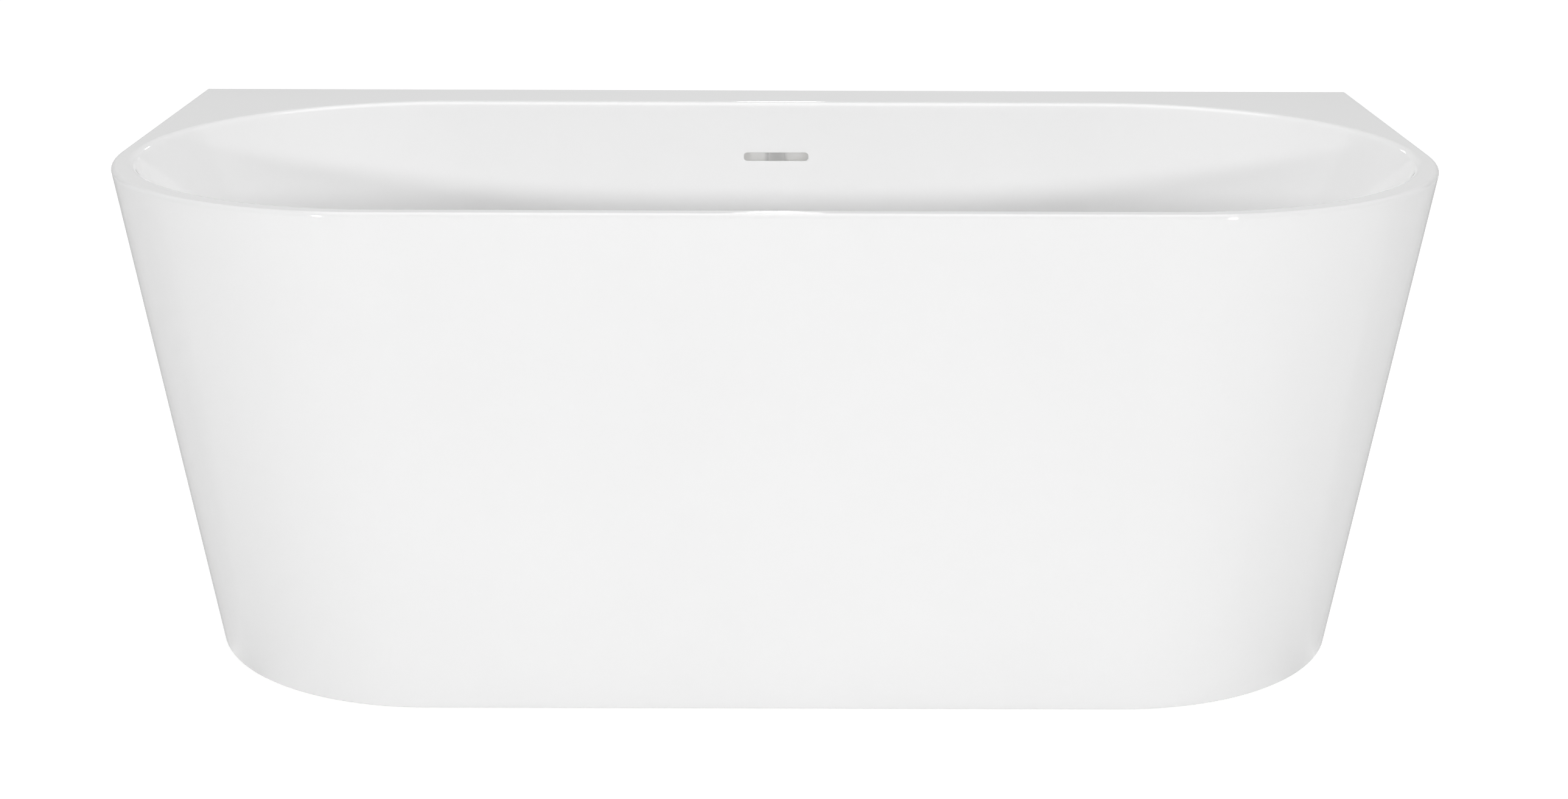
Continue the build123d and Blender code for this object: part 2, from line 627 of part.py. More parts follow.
def foot_stud(side, y):
    """Threaded stud with a hexagon for a spanner just above the pad."""
    low = FOOT_SOLE + STUD_CLEAR
    high = BOARD_UNDER - STUD_TOP_CLEAR
    stud = Pos(0, 0, low) * extrude(Circle(STUD_D / 2), high - low)
    stud = chamfer(stud.edges().sort_by(Axis.Z)[-1], STUD_CHAMFER)
    hexagon_low = FOOT_PAD_H + STUD_CLEAR
    return foot_spot(side, y) * (stud + hex_nut(STUD_HEX_AF, 0, hexagon_low, hexagon_low + STUD_HEX_T))


def stud_nuts(low):
    nut = hex_nut(STUD_NUT_AF, STUD_D + 2 * STUD_CLEAR, low, low + STUD_NUT_T)
    return [foot_spot(side, y) * nut for side in SIDES for y in FOOT_YS]


# Waste
def drain_seal():
    low = FLOOR_HEIGHT - DRAIN_RECESS_DEPTH
    return AT_DRAIN * ring(DRAIN_FLANGE_D, DRAIN_HOLE_D, low, low + DRAIN_SEAL_T)


def drain_flange():
    """Chrome flange with a threaded tail, and a spider that guides the plug's stem."""
    low = FLOOR_HEIGHT - DRAIN_FLANGE_T
    plate = ring(DRAIN_FLANGE_D, DRAIN_SEAT_D, low, FLOOR_HEIGHT)
    plate = fillet(plate.edges().group_by(Axis.Z)[-1], DRAIN_EDGE_R)
    tail = ring(DRAIN_TAIL_OD, DRAIN_TAIL_BORE, low - DRAIN_TAIL_LENGTH, low)
    spoke_run = DRAIN_TAIL_BORE / 2 + SPOKE_T / 2
    spoke_at = Pos(spoke_run / 2, 0, BOSS_LOW + BOSS_HEIGHT / 2)
    spoke = spoke_at * Box(spoke_run, SPOKE_T, BOSS_HEIGHT * SPOKE_SHARE)
    spider = Pos(0, 0, BOSS_LOW) * extrude(Circle(BOSS_D / 2), BOSS_HEIGHT)
    spider += [Rot(0, 0, turn * 360 / SPOKE_COUNT) * spoke for turn in range(SPOKE_COUNT)]
    spider -= Pos(0, 0, BOSS_LOW) * Cylinder(PLUG_STEM_D / 2 + STEM_CLEAR, 4 * BOSS_HEIGHT)
    return AT_DRAIN * (plate + tail + spider)


def click_cartridge():
    """Closed press-and-release cartridge under the spider, which the stem runs into."""
    low = BOSS_LOW - CARTRIDGE_LENGTH
    body = Pos(0, 0, low) * extrude(Circle(CARTRIDGE_D / 2), CARTRIDGE_LENGTH)
    body = fillet(body.edges().sort_by(Axis.Z)[0], CARTRIDGE_FLOOR / 2)
    bore = Pos(0, 0, low + CARTRIDGE_FLOOR) * extrude(Circle(PLUG_STEM_D / 2 + STEM_CLEAR), CARTRIDGE_LENGTH)
    return AT_DRAIN * (body - bore)


def plug_cap():
    """Domed cap over the flange, with a hub under it that carries the seal."""
    cap = Pos(0, 0, PLUG_LOW) * extrude(Circle(PLUG_D / 2), PLUG_T)
    cap = fillet(cap.edges().sort_by(Axis.Z)[-1], PLUG_T * PLUG_ROUND_SHARE)
    hub = extrude(Circle(PLUG_SEAL_ID / 2 - SEAL_FIT), PLUG_HUB)
    tip_hole = Cylinder(STEM_TIP_D / 2 + HOLE_CLEAR, 2 * (STEM_TIP + HOLE_CLEAR))
    hub_low = Pos(0, 0, PLUG_LOW - PLUG_HUB)
    return AT_DRAIN * (cap + hub_low * hub - hub_low * tip_hole)


def plug_seal():
    return AT_DRAIN * ring(PLUG_SEAL_OD, PLUG_SEAL_ID, PLUG_LOW - PLUG_SEAL_T, PLUG_LOW)


def plug_stem():
    high = PLUG_LOW - PLUG_HUB
    stem = Pos(0, 0, high - PLUG_STEM_LENGTH) * extrude(Circle(PLUG_STEM_D / 2), PLUG_STEM_LENGTH)
    return AT_DRAIN * (stem + Pos(0, 0, high) * extrude(Circle(STEM_TIP_D / 2), STEM_TIP))


def waste_gasket():
    return AT_DRAIN * ring(WASTE_FLANGE_D, DRAIN_HOLE_D, WASTE_SEAT - WASTE_GASKET_T, WASTE_SEAT)


def waste_body():
    """Moulded chamber under the bowl: overflow inlet at the back, threaded tail to the trap below."""
    chamber_bore = WASTE_CHAMBER_OD - 2 * WASTE_CHAMBER_WALL
    neck_low = FLOOR_HEIGHT - DRAIN_FLANGE_T - DRAIN_TAIL_LENGTH - HOLE_CLEAR
    tail_bore = WASTE_TAIL_OD - 2 * WASTE_CHAMBER_WALL
    body = ring(WASTE_FLANGE_D, DRAIN_HOLE_D, WASTE_FLANGE_LOW, WASTE_FLANGE_LOW + WASTE_FLANGE_T)
    chamber_rise = WASTE_FLANGE_LOW + WASTE_FLANGE_T - CHAMBER_LOW
    body += Pos(0, 0, CHAMBER_LOW) * extrude(Circle(WASTE_CHAMBER_OD / 2), chamber_rise)
    body += Pos(0, 0, WASTE_TAIL_LOW) * extrude(Circle(WASTE_TAIL_OD / 2), CHAMBER_LOW - WASTE_TAIL_LOW)
    inlet = Plane(origin=(0, 0, PIPE_Z), x_dir=(1, 0, 0), z_dir=(0, 1, 0))
    body += inlet * extrude(Circle(SPIGOT_OD / 2), INLET_REACH)
    chamber_floor = CHAMBER_LOW + WASTE_CHAMBER_WALL
    body -= Pos(0, 0, chamber_floor) * extrude(Circle(chamber_bore / 2), neck_low - chamber_floor)
    body -= Pos(0, 0, neck_low) * extrude(Circle(DRAIN_TAIL_OD / 2 + WASTE_FIT), BOWL_DEPTH)
    body -= Pos(0, 0, CHAMBER_LOW) * Cylinder(tail_bore / 2, 2 * (CHAMBER_LOW - WASTE_TAIL_LOW + PAST))
    body -= inlet * extrude(Circle(OVERFLOW_OD / 2 - OVERFLOW_WALL), INLET_REACH)
    socket = inlet.offset(INLET_REACH - OVERFLOW_INSERT - PIPE_END)
    return AT_DRAIN * (body - socket * extrude(Circle(OVERFLOW_OD / 2 + PIPE_CLEAR), SPIGOT_LENGTH))


# Slot overflow
def overflow_gasket():
    return BACK_WALL * extrude(housing_outline() - channel_outline(), GASKET_T)


def housing_outline():
    return RectangleRounded(HOUSING_LENGTH, HOUSING_HEIGHT, HOUSING_CORNER_R)


def channel_outline():
    """Mouth of the housing, a little larger than the slot all round."""
    grown = 2 * CHANNEL_MARGIN
    return RectangleRounded(SLOT_WIDTH + grown, SLOT_HEIGHT + grown, SLOT_CORNER_R + CHANNEL_MARGIN)


def overflow_housing():
    """Shallow tray behind the slot with a deep well in its middle, and a spigot down from the well."""
    front = Pos(0, 0, GASKET_T)
    tray = extrude(housing_outline(), CHANNEL_DEPTH + HOUSING_WALL)
    well_outside = Rectangle(WELL_WIDTH + 2 * HOUSING_WALL, HOUSING_HEIGHT)
    body = BACK_WALL * front * (tray + extrude(well_outside, HOUSING_DEPTH))
    spigot_high = OVERFLOW_TOP + HOUSING_WALL
    body += Pos(0, OVERFLOW_Y, SPIGOT_LOW) * extrude(Circle(SPIGOT_OD / 2), spigot_high - SPIGOT_LOW)
    well_height = HOUSING_HEIGHT - 2 * HOUSING_WALL
    well = extrude(Rectangle(WELL_WIDTH, well_height), HOUSING_DEPTH - 2 * HOUSING_WALL)
    body -= BACK_WALL * front * (extrude(channel_outline(), CHANNEL_DEPTH) + Pos(0, 0, HOUSING_WALL) * well)
    throat = Circle(WELL_WIDTH / 2 - HOUSING_WALL / 2)
    body -= Pos(0, OVERFLOW_Y, SPIGOT_LOW) * extrude(throat, spigot_high - SPIGOT_LOW + HOUSING_WALL)
    socket = Circle(OVERFLOW_OD / 2 + PIPE_CLEAR)
    return body - Pos(0, OVERFLOW_Y, SPIGOT_LOW) * extrude(socket, OVERFLOW_INSERT + PIPE_END)


def overflow_pipe():
    """Rigid pipe down from the housing, round one bend and forward into the waste body."""
    path = FilletPolyline(
        (0, OVERFLOW_Y, SPIGOT_LOW + OVERFLOW_INSERT),
        (0, OVERFLOW_Y, PIPE_Z),
        (0, BOWL_Y + INLET_REACH - OVERFLOW_INSERT, PIPE_Z),
        radius=OVERFLOW_BEND_R,
    )
    return tube_along(path, OVERFLOW_OD, OVERFLOW_WALL)


def overflow_top_nut():
    nut = slip_nut(OVERFLOW_OD, SPIGOT_OD, SLIP_NUT_OD, SLIP_NUT_LENGTH, SLIP_NUT_LIP)
    return Pos(0, OVERFLOW_Y, SPIGOT_LOW - SLIP_NUT_LIP - PIPE_END) * nut


def overflow_bottom_nut():
    nut = slip_nut(OVERFLOW_OD, SPIGOT_OD, SLIP_NUT_OD, SLIP_NUT_LENGTH, SLIP_NUT_LIP)
    end = BOWL_Y + INLET_REACH + SLIP_NUT_LIP + PIPE_END
    return Plane(origin=(0, end, PIPE_Z), x_dir=(1, 0, 0), z_dir=(0, -1, 0)) * nut


# Trap
def trap_washer():
    return AT_DRAIN * ring(WASTE_TAIL_OD, TRAP_OD - 2 * TRAP_WALL, TRAP_TOP, TRAP_TOP + TRAP_WASHER_T)


def trap_nut():
    low = TRAP_TOP - TRAP_COLLAR_T - TRAP_NUT_LIP
    nut = slip_nut(TRAP_OD, WASTE_TAIL_OD, TRAP_NUT_OD, TRAP_NUT_HEIGHT, TRAP_NUT_LIP)
    return AT_DRAIN * Pos(0, 0, low) * nut


def trap_body():
    """U-bend with a collar at its inlet, turning towards the wall into a plain outlet spigot."""
    reach = TRAP_BEND_R
    far = 2 * reach
    slant = reach * sqrt(0.5)
    turn_end = (far, reach, TRAP_LOW + reach)
    run_end = (far, reach + TRAP_OUTLET_RUN, TRAP_LOW + reach)
    path = Wire([
        Line((0, 0, TRAP_TOP), (0, 0, TRAP_LOW)),
        ThreePointArc((0, 0, TRAP_LOW), (reach, 0, TRAP_LOW - reach), (far, 0, TRAP_LOW)),
        ThreePointArc((far, 0, TRAP_LOW), (far, reach - slant, TRAP_LOW + slant), turn_end),
        Line(turn_end, run_end),
    ])
    body = tube_along(path, TRAP_OD, TRAP_WALL)
    body += ring(TRAP_COLLAR_OD, TRAP_OD - 2 * TRAP_WALL, TRAP_TOP - TRAP_COLLAR_T, TRAP_TOP)
    outlet = Plane(origin=run_end, x_dir=(1, 0, 0), z_dir=(0, 1, 0))
    outlet_bore = TRAP_OD / 2 - TRAP_WALL - TRAP_STEP
    body += outlet * extrude(Circle(OUTLET_OD / 2) - Circle(outlet_bore), OUTLET_LENGTH)
    return AT_DRAIN * body


def build_nodes():
    """Every node by its name. Fasteners of one kind share a node as separate solids."""
    nodes = {
        "basin": basin(),
        "skirt": skirt(),
        "base_board": base_board(),
        "board_screws": board_screws(),
        "bracket_bolts": bracket_bolts(),
        "bracket_nuts": bracket_nuts(),
        "bracket_screws": bracket_screws(),
        "rear_rail": rear_rail(),
        "rail_bolts": rail_bolts(),
        "rail_end_caps": rail_end_caps(),
        "upright_screws": upright_screws(),
        "deck_batten": deck_batten(),
        "lock_nuts": stud_nuts(BEARER_UNDER - STUD_NUT_T),
        "weld_nuts": stud_nuts(BEARER_UNDER + STEEL),
        "drain_seal": drain_seal(),
        "drain_flange": drain_flange(),
        "click_cartridge": click_cartridge(),
        "plug_cap": plug_cap(),
        "plug_seal": plug_seal(),
        "plug_stem": plug_stem(),
        "waste_gasket": waste_gasket(),
        "waste_body": waste_body(),
        "overflow_gasket": overflow_gasket(),
        "overflow_housing": overflow_housing(),
        "overflow_pipe": overflow_pipe(),
        "overflow_top_nut": overflow_top_nut(),
        "overflow_bottom_nut": overflow_bottom_nut(),
        "trap_washer": trap_washer(),
        "trap_nut": trap_nut(),
        "trap_body": trap_body(),
    }
    for side, hand in zip(SIDES, ("left", "right")):
        nodes[f"bearer_{hand}"] = bearer(side)
        nodes[f"rear_upright_{hand}"] = rear_upright(side)
        nodes[f"front_bracket_{hand}"] = c_bracket(side, BRACKET_FRONT, BRACKET_TAB, RETURN_TOP, BEARER_UNDER)
        nodes[f"rear_bracket_{hand}"] = c_bracket(side, RAIL_FRONT, RAIL_SIZE, RAIL_TOP, BEARER_UNDER)
        for y, end in zip(FOOT_YS, ("front", "rear")):
            nodes[f"foot_pad_{end}_{hand}"] = foot_pad(side, y)
            nodes[f"foot_stud_{end}_{hand}"] = foot_stud(side, y)
    return nodes


def write_nodes(nodes):
    os.makedirs("parts", exist_ok=True)
    for name, shape in nodes.items():
        solids = shape if isinstance(shape, list) else [shape]
        export_step(Compound([solid for item in solids for solid in item.solids()]), f"parts/{name}.step")


write_nodes(build_nodes())
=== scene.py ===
import json
from math import atan, atan2, cos, pi, radians, sin, tan

import bmesh
import bpy
from mathutils import Matrix, Vector


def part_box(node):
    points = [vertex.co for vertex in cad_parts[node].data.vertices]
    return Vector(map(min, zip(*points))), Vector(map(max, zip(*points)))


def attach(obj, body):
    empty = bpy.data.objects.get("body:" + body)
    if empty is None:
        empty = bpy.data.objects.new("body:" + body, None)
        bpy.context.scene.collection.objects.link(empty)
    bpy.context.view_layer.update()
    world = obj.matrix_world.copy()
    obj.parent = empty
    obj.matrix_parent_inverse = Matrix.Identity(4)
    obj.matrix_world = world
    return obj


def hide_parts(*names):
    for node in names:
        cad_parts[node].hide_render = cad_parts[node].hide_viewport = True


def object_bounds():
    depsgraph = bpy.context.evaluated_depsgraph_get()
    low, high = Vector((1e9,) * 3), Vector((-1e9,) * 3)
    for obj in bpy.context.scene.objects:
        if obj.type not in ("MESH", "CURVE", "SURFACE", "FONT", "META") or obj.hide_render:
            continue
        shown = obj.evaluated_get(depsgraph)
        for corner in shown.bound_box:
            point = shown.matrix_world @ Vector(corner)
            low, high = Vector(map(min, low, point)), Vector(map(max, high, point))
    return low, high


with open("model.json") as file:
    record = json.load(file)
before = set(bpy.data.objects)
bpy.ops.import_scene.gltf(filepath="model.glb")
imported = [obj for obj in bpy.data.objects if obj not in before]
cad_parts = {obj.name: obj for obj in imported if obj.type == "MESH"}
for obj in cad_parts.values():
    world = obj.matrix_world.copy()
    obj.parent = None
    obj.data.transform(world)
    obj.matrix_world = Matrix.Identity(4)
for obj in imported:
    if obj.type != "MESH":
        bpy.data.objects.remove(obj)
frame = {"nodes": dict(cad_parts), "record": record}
cad_low, cad_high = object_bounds()

# Back-to-wall freestanding bathtub, in metres: X along the bath, Y towards the wall, Z up.
# The bowl and the skirt are modelled here as smooth double-skinned shells, white outside and
# glass-fibre backed inside. The bolts, screws and levelling studs are modelled here with their
# threads. The other pieces keep their solids and get their finish here.

# Outside form, with the overall size from the frame
LENGTH = cad_high.x - cad_low.x
WIDTH = cad_high.y - cad_low.y
HEIGHT = cad_high.z - cad_low.z
WALL_Y = cad_high.y
FRONT_Y = cad_low.y
SIDE_TAPER = 0.085
FRONT_TAPER = 0.070
RIM_CORNER_R = 0.325
BASE_CORNER_R = 0.280
FLOOR_GAP = 0.002

# Bowl shell
SHELL = 0.006
SIDE_RIM = 0.020
FRONT_RIM = 0.022
BACK_DECK = 0.092
END_DRAW = 0.210
LONG_DRAW = 0.078
FLOOR_HEIGHT = 0.150
FLOOR_FILLET = 0.080
RIM_INNER_R = 0.009
RIM_OUTER_R = 0.005
WALL_EDGE_R = 0.0006  # trimmed edge along the wall
LIP_DROP = 0.030

# Overflow slot and drain dish in the shell
SLOT_WIDTH = 0.082
SLOT_HEIGHT = 0.0105
SLOT_CORNER_R = 0.004
SLOT_DROP = 0.069
SLOT_EDGE_R = 0.0012
DRAIN_HOLE_D = 0.052
DRAIN_RECESS_D = 0.084
DRAIN_RECESS_DEPTH = 0.0045
DRAIN_PAD_D = 0.104
DISH_EDGE_R = 0.0015

# Skirt
SKIRT_WALL = 0.005
SKIRT_RETURN = 0.040
SKIRT_EDGE_R = 0.002
JOGGLE_WALL = 0.004
JOGGLE_HEIGHT = 0.020
GLUE_GAP = 0.0002

# Levels and places that follow
SEAM_Z = HEIGHT - LIP_DROP
BOWL_DEPTH = HEIGHT - FLOOR_HEIGHT
BOWL_HALF_LENGTH = LENGTH / 2 - SIDE_RIM
BOWL_HALF_WIDTH = (WIDTH - FRONT_RIM - BACK_DECK) / 2
BOWL_Y = FRONT_Y + FRONT_RIM + BOWL_HALF_WIDTH
RETURN_TOP = FLOOR_GAP + SKIRT_WALL
WALL_LEAN = atan2(LONG_DRAW, BOWL_DEPTH)

# Mesh steps
FRONT_STEPS = 9
CORNER_STEPS = 28
SIDE_STEPS = 14
DECK_STEPS = 13
BACK_STEPS = 8
ROUND_STEPS = 12
FILLET_STEPS = 14
WALL_STEPS = 24
LIP_STEPS = 2
DECK_ROWS = 3
SKIRT_STEPS = 12
EDGE_STEPS = 5  # of a small rounded edge
DISH_STEPS = 4
SLOT_STEPS = 6  # of each corner of the slot
LIP_GUARD = 0.1  # guard rows, as a share of the run between two roundings
DECK_GUARD = 0.05
WALL_GUARD = 0.008
FLOOR_SHARES = (0.02, 0.3, 0.6, 0.85, 0.97)  # rows from the floor's edge to the drain dish
HIDDEN_SHARES = (0.3, 0.7)
SUPPORT = 0.003  # distance of a guard row from the rounding beside it
SIDE_TURN = pi / 4  # the bowl's end turns by this much beside the deck's straight side
EDGE_TURN = radians(5)
WALL_FACING = 0.1  # a normal that points at the wall by more than this is on the trimmed edge
SHARP_ANGLE = radians(35)
WELD = 1e-7  # vertices this close are one


def spread(first, last, count):
    """Evenly spaced values from first up to, but without, last."""
    return [first + (last - first) * i / count for i in range(count)]


def drawn(run, z):
    """How far a face that draws in by run over the whole height is drawn in at height z."""
    return run * (1 - z / HEIGHT)


def lost_to_rounding(taper):
    """How far the rim's rounding draws in the widest line of a face that leans out."""
    lean = atan2(taper, HEIGHT)
    return RIM_OUTER_R * (sin(lean) / tan((pi / 2 - lean) / 2) + cos(lean) - 1)


def d_half(z, inset):
    """Right half of the outside at height z, front to back: each point and its outward normal."""
    half = LENGTH / 2 + lost_to_rounding(SIDE_TAPER) - drawn(SIDE_TAPER, z) - inset
    front = FRONT_Y - lost_to_rounding(FRONT_TAPER) + drawn(FRONT_TAPER, z) + inset
    back = WALL_Y - inset
    radius = RIM_CORNER_R - drawn(RIM_CORNER_R - BASE_CORNER_R, z) - inset
    straight = half - radius
    join = BOWL_HALF_LENGTH - BOWL_HALF_WIDTH
    stations = [((x, front), (0, -1)) for x in spread(0, straight - SUPPORT, FRONT_STEPS)]
    stations.append(((straight - SUPPORT, front), (0, -1)))
    for turn in spread(-pi / 2, 0, CORNER_STEPS):
        at = (straight + radius * cos(turn), front + radius + radius * sin(turn))
        stations.append((at, (cos(turn), sin(turn))))
    stations += [((half, y), (1, 0)) for y in spread(front + radius, back, SIDE_STEPS) + [back]]
    stations += [((x, back), (0, 1)) for x in spread(half - 2 * RIM_OUTER_R, join, DECK_STEPS)]
    stations += [((x, back), (0, 1)) for x in (join, join - SUPPORT)]
    columns = spread(join, 0, BACK_STEPS)[1:] + [0]
    return stations + [((x, back), (0, 1)) for x in columns]


def bowl_half(z, grow):
    """Right half of the bowl's round-ended section at height z, with as many stations as d_half."""
    length = BOWL_HALF_LENGTH - END_DRAW * (HEIGHT - z) / BOWL_DEPTH + grow
    width = BOWL_HALF_WIDTH - LONG_DRAW * (HEIGHT - z) / BOWL_DEPTH + grow
    straight = length - width
    stations = [((x, BOWL_Y - width), (0, -1)) for x in spread(0, straight - SUPPORT, FRONT_STEPS)]
    stations.append(((straight - SUPPORT, BOWL_Y - width), (0, -1)))
    turns = spread(-pi / 2, 0, CORNER_STEPS)
    turns += spread(0, SIDE_TURN, SIDE_STEPS)
    turns += [SIDE_TURN]
    turns += spread(SIDE_TURN + EDGE_TURN, pi / 2, DECK_STEPS)
    for turn in turns:
        at = (straight + width * cos(turn), BOWL_Y + width * sin(turn))
        stations.append((at, (cos(turn), sin(turn))))
    stations += [((x, BOWL_Y + width), (0, 1)) for x in (straight, straight - SUPPORT)]
    columns = spread(straight, 0, BACK_STEPS)[1:] + [0]
    return stations + [((x, BOWL_Y + width), (0, 1)) for x in columns]


def mirrored(half):
    """Whole outline from its right half, counter-clockwise from the middle of the front."""
    left = [((-x, y), (-across, along)) for (x, y), (across, along) in half[-2:0:-1]]
    return half + left


class Outline:
    """Plan outline whose stations move in straight lines as the height changes."""

    def __init__(self, section):
        self.foot = section(0)
        self.top = section(HEIGHT)

    def __len__(self):
        return len(self.foot)

    def slope(self, i):
        """How far station i moves outwards for each metre of height."""
        (x0, y0), _ = self.foot[i]
        (x1, y1), (nx, ny) = self.top[i]
        return ((x1 - x0) * nx + (y1 - y0) * ny) / HEIGHT

    def point(self, i, z, out=0.0):
        (x0, y0), _ = self.foot[i]
        (x1, y1), (nx, ny) = self.top[i]
        share = z / HEIGHT
        return Vector((x0 + (x1 - x0) * share + nx * out, y0 + (y1 - y0) * share + ny * out, z))

    def row(self, z, out=0.0):
        return [self.point(i, z, out) for i in range(len(self))]


def d_outline(inset):
    return Outline(lambda z: mirrored(d_half(z, inset)))


def bowl_outline(grow):
    return Outline(lambda z: mirrored(bowl_half(z, grow)))


def outer_rounding(outline):
    """Rows from the rim's outside wall up and over onto the deck."""
    def point(i, share):
        _, (_, along) = outline.top[i]
        radius = WALL_EDGE_R if along > WALL_FACING else RIM_OUTER_R
        slope = outline.slope(i)
        lean = atan(slope)
        turn = (pi / 2 + lean) * (1 - share)
        drop = radius * (1 - cos(turn))
        tangent = radius / tan((pi / 2 - lean) / 2)
        return outline.point(i, HEIGHT - drop, radius * sin(turn) - tangent + drop * slope)

    return rounding_rows(outline, point, ROUND_STEPS)


def inner_rounding(outline):
    """Rows from the deck over the bowl's edge onto its wall."""
    def point(i, share):
        slope = outline.slope(i)
        lean = atan(slope)
        turn = (pi / 2 - lean) * share
        drop = RIM_INNER_R * (1 - cos(turn))
        tangent = RIM_INNER_R * tan((pi / 2 - lean) / 2)
        return outline.point(i, HEIGHT - drop, tangent - RIM_INNER_R * sin(turn) + drop * slope)

    return rounding_rows(outline, point, ROUND_STEPS)


def floor_rounding(outline, floor, radius):
    """Rows from the bowl's wall round onto its floor."""
    def point(i, share):
        slope = outline.slope(i)
        lean = atan(slope)
        turn = (pi / 2 - lean) * (1 - share)
        rise = radius * (1 - cos(turn))
        tangent = radius * tan((pi / 2 - lean) / 2)
        return outline.point(i, floor + rise, radius * sin(turn) - tangent - rise * slope)

    return rounding_rows(outline, point, FILLET_STEPS)


def rounding_rows(outline, point, steps):
    return [[point(i, step / steps) for i in range(len(outline))] for step in range(steps + 1)]


def between(first, last, shares):
    """Rows part of the way from one row to another."""
    return [[a.lerp(b, share) for a, b in zip(first, last)] for share in shares]


def guarded(steps, guard):
    """Even shares between 0 and 1, with a guard row close to each end."""
    return [guard] + [i / steps for i in range(1, steps)] + [1 - guard]


def circle_row(row, radius, z):
    """Circle round the drain with a vertex in the direction of each vertex of the row."""
    ring = []
    for corner in row:
        turn = atan2(corner.y - BOWL_Y, corner.x)
        ring.append(Vector((radius * cos(turn), BOWL_Y + radius * sin(turn), z)))
    return ring


def slot_ring(grow, depth):
    """Outline of the overflow slot, made larger by grow, this deep in the bowl's back wall."""
    out = Vector((0, cos(WALL_LEAN), -sin(WALL_LEAN)))
    up = Vector((0, sin(WALL_LEAN), cos(WALL_LEAN)))
    z = HEIGHT - SLOT_DROP
    width = BOWL_HALF_WIDTH - LONG_DRAW * SLOT_DROP / BOWL_DEPTH
    middle = Vector((0, BOWL_Y + width + SHELL, z)) + out * (depth - SHELL * cos(WALL_LEAN))
    reach_x = SLOT_WIDTH / 2 - SLOT_CORNER_R
    reach_up = SLOT_HEIGHT / 2 - SLOT_CORNER_R
    radius = SLOT_CORNER_R + grow
    ring = []
    for quarter, (sx, sy) in enumerate(((1, 1), (-1, 1), (-1, -1), (1, -1))):
        for step in range(SLOT_STEPS + 1):
            turn = pi / 2 * (quarter + step / SLOT_STEPS)
            x = sx * reach_x + radius * cos(turn)
            ring.append(middle + Vector((x, 0, 0)) + up * (sy * reach_up + radius * sin(turn)))
    return ring


class Shell:
    """Mesh under construction, with a material slot for each face."""

    def __init__(self):
        self.bm = bmesh.new()

    def add_row(self, points):
        return [self.bm.verts.new(p) for p in points]

    def band(self, first, last, slot, closed=True, skip=()):
        """Faces between two rows of vertices, but not at the columns in skip."""
        count = len(first)
        for i in range(count if closed else count - 1):
            if i not in skip:
                k = (i + 1) % count
                face = self.bm.faces.new((first[i], first[k], last[k], last[i]))
                face.material_index = slot

    def fill(self, edges, normal, slot):
        """Fills a flat space between closed loops of edges."""
        made = bmesh.ops.triangle_fill(self.bm, edges=edges, normal=normal, use_beauty=True)
        for face in [g for g in made["geom"] if isinstance(g, bmesh.types.BMFace)]:
            face.material_index = slot

    def loop_edges(self, loop):
        edges = []
        for a, b in zip(loop, loop[1:] + loop[:1]):
            edges.append(self.bm.edges.get((a, b)) or self.bm.edges.new((a, b)))
        return edges

    def finish(self, name, materials):
        """Closed, smooth object made of all the faces."""
        bm = self.bm
        bmesh.ops.remove_doubles(bm, verts=bm.verts, dist=WELD)
        open_edges = [edge for edge in bm.edges if edge.is_boundary]
        bmesh.ops.holes_fill(bm, edges=open_edges, sides=0)
        bmesh.ops.recalc_face_normals(bm, faces=bm.faces)
        mesh = bpy.data.meshes.new(name)
        bm.to_mesh(mesh)
        bm.free()
        mesh.shade_smooth()
        mesh.set_sharp_from_angle(angle=SHARP_ANGLE)
        for material in materials:
            mesh.materials.append(material)
        piece = bpy.data.objects.new(name, mesh)
        bpy.context.scene.collection.objects.link(piece)
        return piece


# Material slots of both shells
ACRYLIC_SIDE = 0
FIBRE_SIDE = 1


def wall_rows_with_slot(shell, rows, slot, ring):
    """Adds the bowl's wall from rows of points, with its back open round the slot's ring."""
    made = [shell.add_row(row) for row in rows]
    middle = len(rows[0]) // 2
    heights = [row[middle].z for row in rows]
    ring_heights = [v.co.z for v in ring]
    upper = max(i for i, z in enumerate(heights) if z > max(ring_heights) + SUPPORT)
    lower = min(i for i, z in enumerate(heights) if z < min(ring_heights) - SUPPORT)
    for i in range(len(made) - 1):
        opened = (middle - 1, middle) if upper <= i < lower else ()
        shell.band(made[i], made[i + 1], slot, skip=opened)
    border = [made[i][middle - 1] for i in range(upper, lower + 1)]
    border += [made[lower][middle]]
    border += [made[i][middle + 1] for i in range(lower, upper - 1, -1)]
    border += [made[upper][middle]]
    normal = Vector((0, -cos(WALL_LEAN), sin(WALL_LEAN)))
    shell.fill(shell.loop_edges(border) + shell.loop_edges(ring), normal, slot)
    return made


